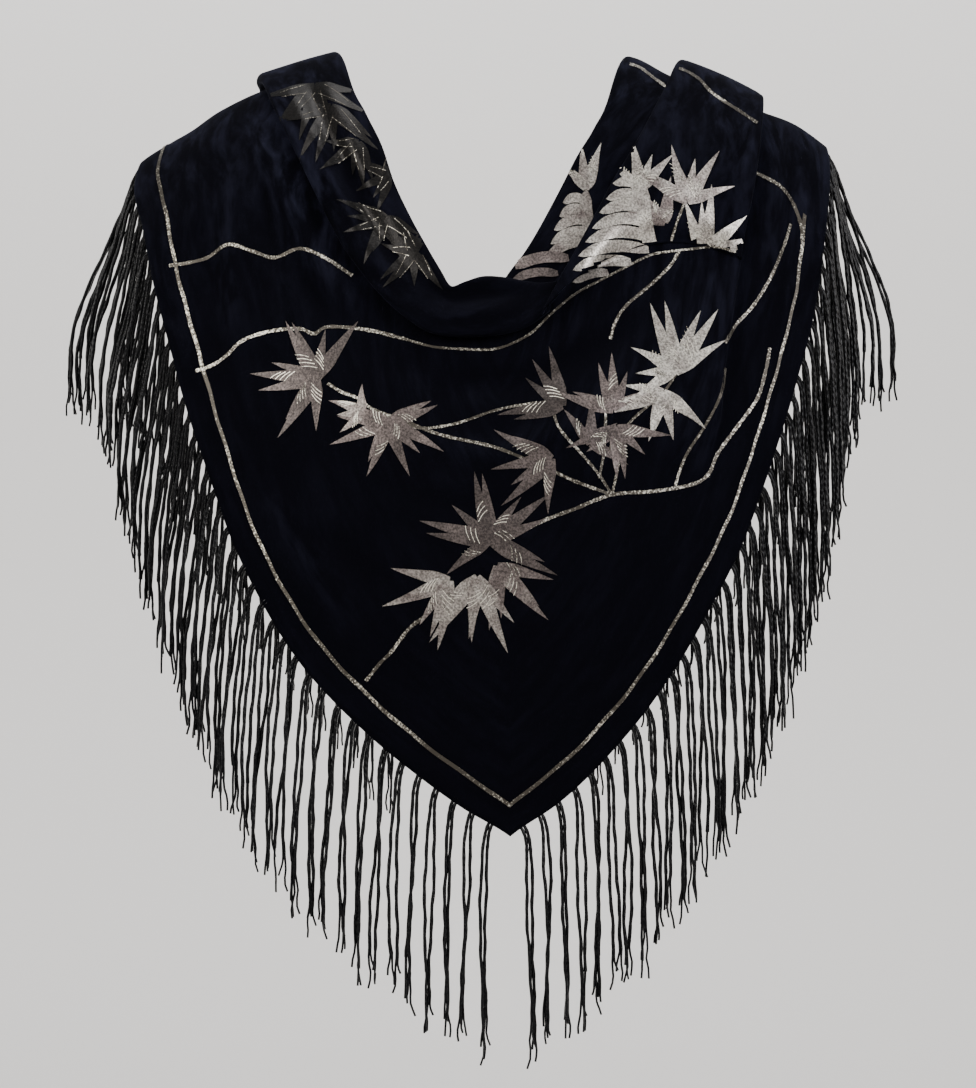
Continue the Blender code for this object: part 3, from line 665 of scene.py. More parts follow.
def film_thread_material(looks):
    """Twisted metallised film thread: a dark line with bright glints about a millimetre apart."""
    if "metallised_film_thread" in bpy.data.materials:
        return bpy.data.materials["metallised_film_thread"]
    material, shader = new_material("metallised_film_thread", {"Metallic": 0.6, "Roughness": 0.4})
    place = add(material, "ShaderNodeTexCoord")
    glints = add(
        material, "ShaderNodeTexNoise", values={"Scale": 1 / 0.0012, "Detail": 2.0, "Roughness": 0.8},
        links={"Vector": place.outputs["Object"]}
    )
    tone = add(material, "ShaderNodeAttribute", {"attribute_name": "tone"})
    lit = add(
        material, "ShaderNodeMath", {"operation": "MULTIPLY_ADD"}, {1: 0.3},
        {0: tone.outputs["Fac"], 2: glints.outputs["Fac"]}
    )
    stretches = add(
        material, "ShaderNodeTexNoise", values={"Scale": 1 / 0.022, "Detail": 1.0},
        links={"Vector": place.outputs["Object"]}
    )
    turned = add(
        material, "ShaderNodeMath", {"operation": "MULTIPLY_ADD"}, {1: 0.5},
        {0: stretches.outputs["Fac"], 2: lit.outputs[0]}
    )
    bright = add(
        material, "ShaderNodeMapRange", values={"From Min": 0.90, "From Max": 1.12},
        links={"Value": turned.outputs[0]}
    )
    # Painted glints: the dark line colour is mixed towards the glint colour where the glints, the tone and
    # the 22 mm stretches add up high
    colour = add(
        material, "ShaderNodeMix", {"data_type": "RGBA"},
        {6: linear(looks["line"]), 7: linear(looks["glint"])}, {0: bright.outputs["Result"]}
    )
    relief = add(
        material, "ShaderNodeBump", values={"Strength": 0.7, "Distance": 0.0004},
        links={"Height": glints.outputs["Fac"]}
    )
    feed(material, shader, Base_Color=colour.outputs[2], Normal=relief.outputs["Normal"])
    return material


def yarn_material(looks):
    """Twisted viscose yarn: black with a satin gloss that breaks up where one ply passes over the other.
    """
    if "twisted_viscose_yarn" in bpy.data.materials:
        return bpy.data.materials["twisted_viscose_yarn"]
    material, shader = new_material(
        "twisted_viscose_yarn", {"Roughness": 0.2, "Specular IOR Level": 0.16}
    )
    place = add(material, "ShaderNodeTexCoord")
    fibres = add(
        material, "ShaderNodeTexNoise", values={"Scale": 1 / 0.0016, "Detail": 2.0},
        links={"Vector": place.outputs["Object"]}
    )
    plies = add(
        material,
        "ShaderNodeTexWave",
        {"wave_type": "BANDS", "bands_direction": "DIAGONAL"},
        {"Scale": 1 / 0.0062, "Distortion": 1.5, "Detail": 1.0},
        {"Vector": place.outputs["Object"]},
    )
    colour = add(
        material, "ShaderNodeMix", {"data_type": "RGBA"},
        {6: linear(looks["yarn"]), 7: linear(looks["yarn_worn"])}, {0: fibres.outputs["Fac"]}
    )
    relief = add(
        material, "ShaderNodeBump", values={"Strength": 0.35, "Distance": 0.0005},
        links={"Height": plies.outputs["Fac"]}
    )
    feed(material, shader, Base_Color=colour.outputs[2], Normal=relief.outputs["Normal"])
    return material


def backdrop_material(looks):
    """Matt painted paper sweep, pale and even, so that nothing competes with the cloth."""
    matt = {"Roughness": 0.95, "Specular IOR Level": 0.1, "Base Color": linear(looks["paper"])}
    return new_material("matt_paper_sweep", matt)[0]


# ---------------------------------------------------------------- making pieces


def velvet_shell(name, points, nap, wall, looks):
    """A velvet shell through a grid of points, with its lengths as UV and its painted sheen mask as an
    attribute.
    """
    rows, columns = points.shape[:2]
    bm = bmesh.new()
    uv = bm.loops.layers.uv.new("cloth")
    bmesh.ops.create_grid(bm, x_segments=rows - 1, y_segments=columns - 1, size=1.0)
    down = np.concatenate(
        [[0], np.cumsum(np.linalg.norm(np.diff(points[:, columns // 2], axis=0), axis=1))]
    )
    wide = np.linalg.norm(np.diff(points, axis=1), axis=2).cumsum(axis=1)
    sheen_mask_layer = bm.verts.layers.float.new("nap")
    place = {}
    for vertex in bm.verts:
        i = round((vertex.co.x + 1) / 2 * (rows - 1))
        j = round((vertex.co.y + 1) / 2 * (columns - 1))
        vertex.co = Vector(points[i, j] * MM)
        vertex[sheen_mask_layer] = float(nap[i, j])
        place[vertex] = (float(wide[i, j - 1] if j else 0.0) * MM, float(down[i]) * MM)
    for face in bm.faces:
        for loop in face.loops:
            loop[uv].uv = place[loop.vert]
    bm.normal_update()
    # Outwards is away from the middle of the figure, in plan
    outward = Vector((1, 1, 0))
    facing = sum(f.calc_area() * f.normal.dot(f.calc_center_median() * outward) for f in bm.faces)
    if facing < 0:
        bmesh.ops.reverse_faces(bm, faces=bm.faces)
    made = finished(name, bm, velvet_material(looks))
    shell = made.modifiers.new("Wall", "SOLIDIFY")
    shell.thickness = wall * MM
    shell.offset = -1.0
    return made


def finished(name, bm, material):
    """The object of a finished mesh, linked into the scene."""
    mesh = bpy.data.meshes.new(name)
    bm.to_mesh(mesh)
    bm.free()
    mesh.materials.append(material)
    mesh.shade_smooth()
    made = bpy.data.objects.new(name, mesh)
    bpy.context.scene.collection.objects.link(made)
    return made


def area_of(obj):
    return sum(face.area for face in obj.data.polygons)


# Painted sheen along fold ridges, where the velvet is drawn lighter
SHEEN_RIDGES = (
    Fold("soft", 0.9, 12.0, ((-130, 20), (-118, -20), (-98, -56), (-78, -92))),
    Fold("soft", 0.5, 7.0, ((-152, 0), (-156, -70), (-150, -130))),
    Fold("soft", 0.35, 9.0, ((-122, -215), (-100, -250), (-70, -290))),
    Fold("soft", 0.3, 8.0, ((-60, -150), (-10, -160), (40, -150))),
    Fold("soft", 0.7, 8.0, ((120, 26), (132, 0), (140, -40))),
    Fold("soft", 0.5, 8.0, ((170, 0), (176, -40), (176, -90))),
)


def painted_sheen_map(x, root, z, extra_sheen):
    """How much painted sheen the velvet gets: most along the shoulder ridges and fold ridges, little on
    the flat front.
    """
    shoulder = np.exp(-((root / 6.0) ** 2))
    ridge_sheen = fold_relief(SHEEN_RIDGES, x, z) * (root > 0)
    return np.clip(0.12 + 0.9 * shoulder + 0.18 * between(z, -190, -20) + ridge_sheen + extra_sheen, 0.0, 1.3)


# ---------------------------------------------------------------- the stretches of cloth


def front_relief(x, root, z, across):
    """Folds of the wide front, and pleats that run out towards the corner of the end behind it."""
    in_front = between(root, -1.0, 2.5)
    pleats = 3.2 * np.sin(
        math.pi * 2.5 * across
    ) ** 2 * between(-root, 2.0, 9.0) * between(-root, 17.5, 12.0)
    return fold_relief(DROP_FOLDS, x, z) * in_front + drape_waves(x, z) + pleats


def front_half(sections, tail, tail_share, mirror_rows):
    """Points of half the wide front with the end that hangs behind it, from the corner on the back to the
    point.
    """
    behind = part_of(tail, 0.0, tail_share)
    order = tuple(reversed(behind)) + tuple(sections if not mirror_rows else reversed(sections))
    stretch = Stretch(order)
    along = stretch.rows(CELL)[:, None]
    columns = 84
    cover = EDGE_COVER * (0.3 + 0.7 * between(1 - along, 0.0, 0.03))
    past = -cover / stretch.width(along)
    across = past + (1 - past) * np.linspace(0, 1, columns + 1)[None, :]
    x, root = stretch.spot(along, across)
    z = figure(x, root)[..., 2]
    relief = front_relief(x, root, z, across)
    # Fold crests get more painted sheen and troughs less: painted highlight and shade on the folds
    return lifted(x, root, 2.0 + relief), painted_sheen_map(x, root, z, np.clip(0.11 * relief, -0.25, 0.4))


def build_front(looks):
    """The front and both ends as one sheet, from the corner of the left end to that of the right."""
    left, left_sheen_mask = front_half(DROP_LEFT, LEFT_TAIL, 0.66, False)
    right, right_sheen_mask = front_half(DROP_RIGHT, RIGHT_TAIL, 0.50, True)
    points = np.concatenate([left, right[::-1][1:]])
    nap = np.concatenate([left_sheen_mask, right_sheen_mask[::-1][1:]])
    return velvet_shell("velvet_front", points, nap, WALL, looks)


def folded_strip(sections, profile, relief):
    """Points of a stretch whose long edges are folded under; the profile gives distance in from an edge
    and lift.
    """
    stretch = Stretch(sections)
    grid, sheen_masks = [], []
    for along in stretch.rows(FOLDED_CELL):
        width = float(stretch.width(along))
        outer, middle, inner = profile(along, width)
        across = [s / width for s, _ in outer] + [a for a, _ in middle] + [
            1 - s / width for s, _ in reversed(inner)
        ]
        lift = np.array([n for _, n in outer] + [n for _, n in middle] + [n for _, n in reversed(inner)])
        x, root = stretch.spot(along, np.array(across))
        z = figure(x, root)[..., 2]
        on_top = slice(len(outer), len(across) - len(inner))
        raised = np.zeros_like(lift)
        raised[on_top] = relief(x[on_top], root[on_top], z[on_top])
        grid.append(lifted(x, root, lift + raised))
        # Fold crests get more painted sheen and troughs less: painted highlight and shade on the folds
        sheen_masks.append(painted_sheen_map(x, root, z, 0.08 + np.clip(0.13 * raised, -0.3, 0.45)))
    return np.array(grid), np.array(sheen_masks)


def build_cowl(looks):
    """The long side of the cloth rolled back, down from the left shoulder and across below the neck."""
    back = tuple(reversed(part_of(LEFT_TAIL, 0.50, 1.0)))
    shoulder = len(back) / (len(back) + len(NECK_ROLL) - 1)

    def profile(along, width):
        front = float(between(along, shoulder, 1.0)) if along > shoulder else 0.0
        down = max(0.0, (along - shoulder) / (1 - shoulder))
        behind = max(0.0, (shoulder - along) / shoulder)
        radius = 3.5 - 1.1 * float(between(down, 0.75, 0.95)) - 1.3 * behind
        under = 4.5 - 2.1 * float(between(down, 0.75, 0.95)) + 0.4 * behind
        top = under + 2 * radius
        crown = 1.8 * math.sin(math.pi * front)
        outer = turned_edge(radius, top, min(0.10 * width, 3.5))
        inner = turned_edge(radius, top + crown, min(0.20 * width, 7.0))
        steps = np.linspace(0, 1, 16)[1:-1]
        middle = [((radius + t * (width - 2 * radius)) / width, top + crown * t) for t in steps]
        return outer, middle, inner

    def relief(x, root, z):
        return (fold_relief(ROLL_FOLDS, x, z) + drape_waves(x, z)) * between(root, 0.5, 3.0)

    points, nap = folded_strip(back + NECK_ROLL, profile, relief)
    return velvet_shell("velvet_cowl", points, nap, FOLDED_WALL, looks)


def build_inner_pleat(looks):
    """The pleat over the right shoulder, beside the neck."""
    back = tuple(reversed(part_of(RIGHT_TAIL, 0.66, 1.0)))
    shoulder = len(back) / (len(back) + len(INNER_PLEAT) - 1)

    def profile(along, width):
        down = max(0.0, (along - shoulder) / (1 - shoulder))
        behind = max(0.0, (shoulder - along) / shoulder)
        raised = 6.0 * float(between(down, 0.35, 0)) - 1.4 * float(
            between(down, 0.55, 0.85)
        ) - 3.0 * behind
        radius = 2.4 - 0.8 * behind
        inner = turned_edge(radius, 2.0 + raised, min(0.18 * width, 6.0))
        flat = np.linspace(0.0, 1 - (radius + 1.5) / width, 14)
        middle = [(a, 2.0 + raised * float(between(a, 0.3, 0.9))) for a in flat]
        return [], middle, inner

    def relief(x, root, z):
        return drape_waves(x, z) * between(root, 0.5, 3.0)

    points, nap = folded_strip(back + INNER_PLEAT, profile, relief)
    return velvet_shell("velvet_inner_pleat", points, nap, FOLDED_WALL, looks)


def build_middle_pleat(looks):
    """The pleat over the right shoulder whose lower edge runs in an arch."""
    back = tuple(reversed(part_of(RIGHT_TAIL, 0.28, 0.78)))
    count = len(back) + len(MIDDLE_PLEAT)
    shoulder = len(back) / (count - 1)
    stretch = Stretch(back + MIDDLE_PLEAT)
    grid, sheen_masks = [], []
    for along in stretch.rows(2.2):
        width = float(stretch.width(along))
        down = max(0.0, (along - shoulder) / (1 - shoulder))
        behind = max(0.0, (shoulder - along) / shoulder)
        outer_top = 11.5 - 2.6 * down - 3.5 * behind
        inner_top = 13.4 - 4.4 * behind
        outer_radius, inner_radius = 2.4 - 0.8 * behind, 2.6 - 0.8 * behind
        outer = turned_edge(outer_radius, outer_top, 0.03 * width)
        inner = turned_edge(inner_radius, inner_top, 0.06 * width)
        middle = np.linspace(0.09, 0.91, 30)
        crown = outer_top + (inner_top - outer_top) * middle + 1.5 * np.sin(math.pi * middle)
        settles = between(down, 0.72, 1.0) * between(middle, 0.02, 0.18) * between(middle, 0.84, 0.6)
        settled = crown + (4.4 - crown) * settles
        across = np.array(
            [s / width for s, _ in outer] + list(middle) + [1 - s / width for s, _ in reversed(inner)]
        )
        lift = np.array([n for _, n in outer] + list(settled) + [n for _, n in reversed(inner)])
        x, root = stretch.spot(along, across)
        arch = 17.0 * np.sin(math.pi * np.clip(across, 0, 1)) ** 0.8 * down**3
        if down > 0.2:
            root = roots(FRONT, x, figure(x, root)[:, 2] + arch)
        z = figure(x, root)[:, 2]
        on_top = slice(len(outer), len(across) - len(inner))
        ripples = fold_relief(PLEAT_FOLDS, x, z) + drape_waves(x, z)
        lift[on_top] += (ripples * between(root, 0.5, 3.0) * (1 - 0.6 * down))[on_top]
        grid.append(lifted(x, root, lift))
        # The pleat gets a little more painted sheen all over
        sheen_masks.append(painted_sheen_map(x, root, z, 0.15))
    return velvet_shell("velvet_middle_pleat", np.array(grid), np.array(sheen_masks), FOLDED_WALL, looks)


# ---------------------------------------------------------------- the pattern laid on the cloth

SHEETS = {
    "front": "velvet_front", "cowl": "velvet_cowl", "inner": "velvet_inner_pleat",
    "middle": "velvet_middle_pleat"
}


class Laid:
    """Finds the cloth's surface under a place of the front or back view."""

    def __init__(self):
        self.trees = {}

    def at(self, sheet, x, z, above, way=1):
        start = Vector((x * MM, -0.4 * way, z * MM))
        hits = []
        for name in SHEETS if sheet == "any" else (sheet,):
            if name not in self.trees:
                mesh = bpy.data.objects[SHEETS[name]].data
                self.trees[name] = BVHTree.FromPolygons(
                    [v.co for v in mesh.vertices], [p.vertices[:] for p in mesh.polygons]
                )
            hit, normal, _, _ = self.trees[name].ray_cast(start, Vector((0, way, 0)))
            if hit is not None:
                hits.append(((hit - start).length, hit, normal))
        if not hits:
            return None
        _, hit, normal = min(hits, key=lambda found: found[0])
        if normal.y * way > 0:
            normal.negate()
        return hit + normal * (above * MM)


def laid_grid(bm, laid, sheet, spots, above, tone, lit_tone_layer, way=1):
    """A small sheet of the pattern on the cloth, through a grid of places in the front view; edges off
    the cloth are cut.
    """
    rows, columns = len(spots), len(spots[0])
    made = bmesh.ops.create_grid(bm, x_segments=rows - 1, y_segments=columns - 1, size=1.0)["verts"]
    missed = []
    for vertex in made:
        i = round((vertex.co.x + 1) / 2 * (rows - 1))
        j = round((vertex.co.y + 1) / 2 * (columns - 1))
        found = laid.at(sheet, *spots[i][j], above, way)
        vertex[lit_tone_layer] = tone
        if found is None:
            missed.append(vertex)
        else:
            vertex.co = found
    if missed:
        bmesh.ops.delete(bm, geom=missed, context="VERTS")
    torn = {e for v in made if v.is_valid for e in v.link_edges if e.calc_length() > 7 * MM}
    if torn:
        bmesh.ops.delete(bm, geom=list(torn), context="EDGES")


def leaf_spots(x, z, angle, length, width, bend):
    """Places of one pointed leaf that starts at x, z, already broad where it joins the others."""
    turn = math.radians(angle)
    ahead, aside = (math.cos(turn), math.sin(turn)), (-math.sin(turn), math.cos(turn))
    rows = []
    for k in range(11):
        t = k / 10
        half = width / 2 * (
            0.55 + 0.45 * math.sin(math.pi * t / 0.6)
        ) if t < 0.3 else width / 2 * ((1 - t) / 0.7) ** 0.85
        curve = bend * t * t
        centre = (
            x + ahead[0] * t * length + aside[0] * curve, z + ahead[1] * t * length + aside[1] * curve
        )
        half = max(half, 0.02)
        rows.append(
            [
                (centre[0] + aside[0] * half * s, centre[1] + aside[1] * half * s)
                for s in (-1, -0.5, 0, 0.5, 1)
            ]
        )
    return rows


def smooth_path(path, step):
    """Evenly spaced places on a smooth curve through a path, with their directions."""
    at = np.arange(len(path)) / (len(path) - 1)
    fine = np.linspace(0, 1, 40 * len(path))
    x = smooth(np.stack([at, [p[0] for p in path]], 1), fine)
    z = smooth(np.stack([at, [p[1] for p in path]], 1), fine)
    run = np.concatenate([[0], np.cumsum(np.hypot(np.diff(x), np.diff(z)))])
    even = np.linspace(0, run[-1], max(3, int(run[-1] / step) + 1))
    x, z = np.interp(even, run, x), np.interp(even, run, z)
    dx, dz = np.gradient(x), np.gradient(z)
    size = np.hypot(dx, dz)
    return x, z, dx / size, dz / size


def ribbon_spots(path, width, step=2.0):
    """Places of a narrow line along a path, its width a little uneven."""
    x, z, dx, dz = smooth_path(path, step)
    rows = []
    for k in range(len(x)):
        half = width / 2 * (1 + 0.18 * math.sin(k * 1.9) * math.sin(k * 0.7))
        rows.append([(x[k] - dz[k] * half * s, z[k] + dx[k] * half * s) for s in (-1, 0, 1)])
    return rows


def spray_leaves(spray):
    """Each leaf of a spray: angle, length, width and bend."""
    leaves = []
    for k in range(spray.leaves):
        share = k / max(1, spray.leaves - 1)
        wobble = math.sin(spray.seed * 3.7 + k * 2.4)
        angle = spray.first + (spray.last - spray.first) * share + 5 * wobble
        length = spray.length * (0.90 + 0.17 * math.sin(spray.seed * 1.9 + k * 2.3))
        leaves.append((angle, length, 3.6 + length * 0.11, 3.4 * wobble))
    return leaves


def blade_spots(blade):
    """Places of one long blade that swells in the middle and bends to one side."""
    (ax, az), (bx, bz) = blade.root, blade.tip
    length = math.hypot(bx - ax, bz - az)
    ahead = ((bx - ax) / length, (bz - az) / length)
    aside = (-ahead[1], ahead[0])
    rows = []
    for k in range(15):
        t = k / 14
        half = max(0.02, blade.width / 2 * min(1.0, 3.2 * t + 0.6) * min(1.0, 4.5 * (1 - t)) ** 0.6)
        curve = blade.sag * math.sin(math.pi * t)
        x, z = ax + ahead[0] * t * length + aside[0] * curve, az + ahead[1] * t * length + aside[1] * curve
        rows.append([(x + aside[0] * half * s, z + aside[1] * half * s) for s in (-1, -0.5, 0, 0.5, 1)])
    return rows


def stitches(spray, angle, length, width, k):
    """Short bright lines side by side across the middle of a leaf."""
    turn = math.radians(angle)
    ahead, aside = (math.cos(turn), math.sin(turn)), (-math.sin(turn), math.cos(turn))
    paths = []
    if spray.sheet == "cowl":
        # On the rolled edge the light catches only the outlines, which meet towards the tip
        for side in (-1.0, 1.0):
            path = []
            for t in (0.14, 0.36, 0.62):
                on, off = t * length, side * width * 0.46 * (1 - t) ** 0.8 + 0.5 * math.sin(k + 5 * t)
                path.append(
                    (spray.x + ahead[0] * on + aside[0] * off, spray.z + ahead[1] * on + aside[1] * off)
                )
            paths.append(path)
        return paths
    for line in range(3 + k % 2):
        t = 0.30 + 0.07 * line + 0.12 * math.sin(spray.seed * 2.3 + k)
        reach = width * 0.44 * min(1.0, (1 - t) / 0.7)
        slant = 3.4 if k % 2 else -3.0
        path = []
        for side in (-1.0, 0.0, 1.0):
            on, off = t * length + slant * side * 0.8 + 0.6 * (1 - side * side), side * reach
            path.append(
                (spray.x + ahead[0] * on + aside[0] * off, spray.z + ahead[1] * on + aside[1] * off)
            )
        paths.append(path)
    return paths


def add_lit_tone(bm):
    return bm.verts.layers.float.new("tone")


def build_sprays(looks):
    """Every spray and palm leaf, and the bright stitches over them."""
    laid = Laid()
    leaves, threads = bmesh.new(), bmesh.new()
    lit_tone_layer, thread_lit_tone = add_lit_tone(leaves), add_lit_tone(threads)
    for spray in SPRAYS + BACK_SPRAYS:
        way = -1 if spray in BACK_SPRAYS else 1
        for k, (angle, length, width, bend) in enumerate(spray_leaves(spray)):
            above = 0.32 + 0.014 * k
            tone = min(1.0, max(0.0, spray.tone * (1 + 0.10 * math.sin(k * 2.1 + spray.seed))))
            laid_grid(
                leaves, laid, spray.sheet, leaf_spots(spray.x, spray.z, angle, length, width, bend),
                above, tone, lit_tone_layer, way
            )
            if (k + spray.seed) % 2 == 0:
                # On the rolled cowl the stitches are finer, and painted with fewer glints, as the cowl
                # lies in shade
                thick, gleam = (0.30, 0.45) if spray.sheet == "cowl" else (0.38, 1.0)
                for path in stitches(spray, angle, length, width, k):
                    laid_grid(
                        threads, laid, spray.sheet, ribbon_spots(path, thick, 0.8), above + 0.14, gleam,
                        thread_lit_tone, way
                    )
    for k, blade in enumerate(BLADES):
        laid_grid(leaves, laid, blade.sheet, blade_spots(blade), 0.34 + 0.02 * k, blade.tone, lit_tone_layer)
    return finished("woven_leaves", leaves, lame_material(looks)), finished(
        "woven_stitches", threads, film_thread_material(looks)
    )


def build_lines(looks):
    """Stems between the sprays, and the frame line that follows the outer edge of the scarf."""
    laid = Laid()
    bm = bmesh.new()
    lit_tone_layer = add_lit_tone(bm)
    for line in STEMS:
        laid_grid(bm, laid, line.sheet, ribbon_spots(line.path, line.width), 0.3, 0.45, lit_tone_layer)
    frame_line(bm, lit_tone_layer, DROP_LEFT, LEFT_TAIL, 0.66, lambda root, z: root < 99)
    # On the right the line turns in between the pleats, and comes out from under them on the back
    right = tuple(reversed(DROP_RIGHT))
    frame_line(bm, lit_tone_layer, right, RIGHT_TAIL, 0.50, lambda root, z: (root > 0) & (z < -69))
    frame_line(bm, lit_tone_layer, right, RIGHT_TAIL, 0.50, lambda root, z: root < -7)
    return finished("woven_lines", bm, film_thread_material(looks))


def frame_line(bm, lit_tone_layer, sections, tail, tail_share, shown):
    """The line a little inside the edge, laid by lengths along and across the cloth, where it is shown.
    """
    stretch = Stretch(tuple(reversed(part_of(tail, 0.0, tail_share))) + sections)
    along = stretch.rows(2.2)
    x, root = stretch.edge(0, along)
    along = along[shown(root, figure(x, root)[..., 2])]
    width = stretch.width(along)
    half = 1.05
    rows = []
    for offset in (-half, 0.0, half):
        inset = FRAME_INSET + offset + 0.25 * np.sin(along * 190)
        across = np.minimum(inset / width, 0.8)
        x, root = stretch.spot(along, across)
        z = figure(x, root)[..., 2]
        rows.append(lifted(x, root, 2.45 + front_relief(x, root, z, across)))
    points = np.stack(rows, axis=1)
    count = len(points)
    made = bmesh.ops.create_grid(bm, x_segments=count - 1, y_segments=2, size=1.0)["verts"]
    for vertex in made:
        i = round((vertex.co.x + 1) / 2 * (count - 1))
        j = round((vertex.co.y + 1) / 2 * 2)
        vertex.co = Vector(points[i, j] * MM)
        vertex[lit_tone_layer] = 0.4


# ---------------------------------------------------------------- the fringe


class Edge:
    """The outer edge of a sheet, read from the sheet's own points."""

    def __init__(self, points):
        self.points = points[:, 0]
        hop = np.linalg.norm(np.diff(self.points, axis=0), axis=1)
        self.run = np.concatenate([[0], np.cumsum(hop)])
        self.tangents = self.unit(np.gradient(self.points, self.run, axis=0))
        outward = self.points - points[:, 1]
        outward -= self.tangents * np.sum(outward * self.tangents, axis=1)[:, None]
        self.outward = self.unit(outward)

    @staticmethod
    def unit(vectors):
        return vectors / np.linalg.norm(vectors, axis=1, keepdims=True)

    def frame(self, at):
        rows = (self.points, self.tangents, self.outward)
        point, tangent, away = (
            Vector([np.interp(at, self.run, row[:, k]) for k in range(3)]) for row in rows
        )
        tangent.normalize()
        away = (away - tangent * away.dot(tangent)).normalized()
        return point, tangent, away


def plain_edge(sections, steps):
    """The cut edge of one stretch without its folds, as the strands' roots follow it."""
    stretch = Stretch(sections)
    along = np.linspace(0, 1, steps + 1)[:, None]
    x, root = stretch.spot(along, np.array([[0.0, 0.05]]))
    return Edge(lifted(x, root, 0.5))


def strand_path(root, away, leaves, drift, length, index):
    """Where one tassel's middle goes: out of the edge, then down with a slight sway."""
    sway = 1.3 * math.sin(index * 2.4)

    def path(s):
        left = leaves * (1 - math.exp(-s / leaves))
        fall = s - 8.0 * (1 - math.exp(-s / 8.0))
        waves = Vector((sway * math.sin(s / 24.0), sway * 0.6 * math.sin(s / 31.0), 0))
        swing = float(between(s, 4.0, 4.0 + 0.75 * length))
        return root + away * left + (drift + waves) * swing - Vector((0, 0, fall))

    return path


def cord_beside(path, tangent, length, index, side):
    """Where one cord of a tassel runs: beside the other at first, then round it and a little away."""
    opens = 0.3 + 1.2 * abs(math.sin(index * 1.37))
    turns = 0.3 + 0.45 * math.sin(index * 2.9)
    first = 0.3 * math.sin(index * 1.1)
    lapse = 1.2 + 0.6 * math.sin(index * 1.9)
    level = Vector((tangent.x, tangent.y, 0)).normalized()
    if abs(level.x) < 0.5:
        level = Vector((math.copysign(0.8, level.x or 1.0), 0.6 * level.y, 0)).normalized()
    across = Vector((-level.y, level.x, 0))

    def place(s):
        t = s / length
        turn = first + turns * 2 * math.pi * t
        apart = 1.0 + opens * math.sin(math.pi * min(1.0, t * lapse)) ** 2
        hanging = level * math.cos(turn) + across * math.sin(turn)
        aside = tangent.lerp(hanging, float(between(s, 2.0, 16.0)))
        kink = 0.25 * math.sin(s / 4.7 + 2 * side + index) + 0.13 * math.sin(s / 2.3 + index)
        return path(s) + aside * (side * apart) + Vector((kink, 0.5 * kink, 0)) * min(1.0, 4 * t)

    return place


def add_yarn(curve, places, radii):
    spline = curve.splines.new("POLY")
    spline.points.add(len(places) - 1)
    for point, place, radius in zip(spline.points, places, radii):
        point.co = (*(place * MM), 1.0)
        point.radius = radius
    spline.use_smooth = True


def build_fringe(name, edge, hangs, pitch, clearances, looks, mirror=1, node=None):
    """Tassels of two cords each, which cross and part on the way down and end in loose threads."""
    start, end = clearances
    free = edge.run[-1] - start - end - 6.0
    count = int(free // pitch) + 1
    centres = start + 3.0 + (free - (count - 1) * pitch) / 2 + pitch * np.arange(count)
    curve = bpy.data.curves.new(name + "_curve", "CURVE")
    curve.dimensions = "3D"
    curve.bevel_depth = looks["yarn_radius"] * MM
    curve.bevel_resolution = 1
    curve.use_fill_caps = True
    for index, centre in enumerate(centres):
        point, tangent, away = edge.frame(centre)
        part = (centre - start) / (edge.run[-1] - start - end)
        leaves, drift_x, drift_y, length = (
            float(np.interp(part, [h.along for h in hangs], [h[k] for h in hangs])) for k in (1, 2, 3, 4)
        )
        drift = Vector((drift_x * mirror, drift_y + 3.2 * (index % 2), 0))
        length += 5.0 * math.sin(index * 1.7)
        path = strand_path(point, away, leaves, drift, length, index)
        for side in (-1, 1):
            cord = cord_beside(path, tangent, length, index, side)
            stops = 0.80 + 0.05 * math.sin(index * 3.3 + side)
            reach = np.concatenate(
                [np.arange(0, 20, 2.2), np.arange(20, length * stops, 4.0), [length * stops]]
            )
            knot = 1.0 + 0.10 * np.sin(reach * 1.1 + index)
            add_yarn(curve, [cord(s) for s in reach], knot)
            for loose in range(2):
                spread = math.radians(180 * loose + 70 * index + 40 * side)
                ends = length * (0.97 + 0.045 * math.sin(index * 5 + loose * 2.3 + side))
                places, radii = [], []
                for s in np.linspace(length * stops - 2.0, ends, 8):
                    t = (s - length * stops) / (ends - length * stops)
                    wave = 0.7 * math.sin(s / 2.6 + loose * 2 + index)
                    flare = Vector(
                        (math.cos(spread), math.sin(spread) * 0.5, 0)
                    ) * (0.45 + 1.7 * t * abs(t) + wave * t)
                    places.append(cord(s) + flare)
                    radii.append(0.64 - 0.08 * t)
                add_yarn(curve, places, radii)
    holder = bpy.data.objects.new(name + "_holder", curve)
    bpy.context.scene.collection.objects.link(holder)
    bpy.context.view_layer.update()
    mesh = bpy.data.meshes.new_from_object(holder.evaluated_get(bpy.context.evaluated_depsgraph_get()))
    bpy.data.objects.remove(holder, do_unlink=True)
    mesh.name = name
    mesh.materials.clear()
    mesh.materials.append(yarn_material(looks))
    mesh.shade_smooth()
    made = bpy.data.objects.new(name, mesh)
    bpy.context.scene.collection.objects.link(made)
    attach(made, "root")
    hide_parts(node)
    return made


# ---------------------------------------------------------------- the add-on


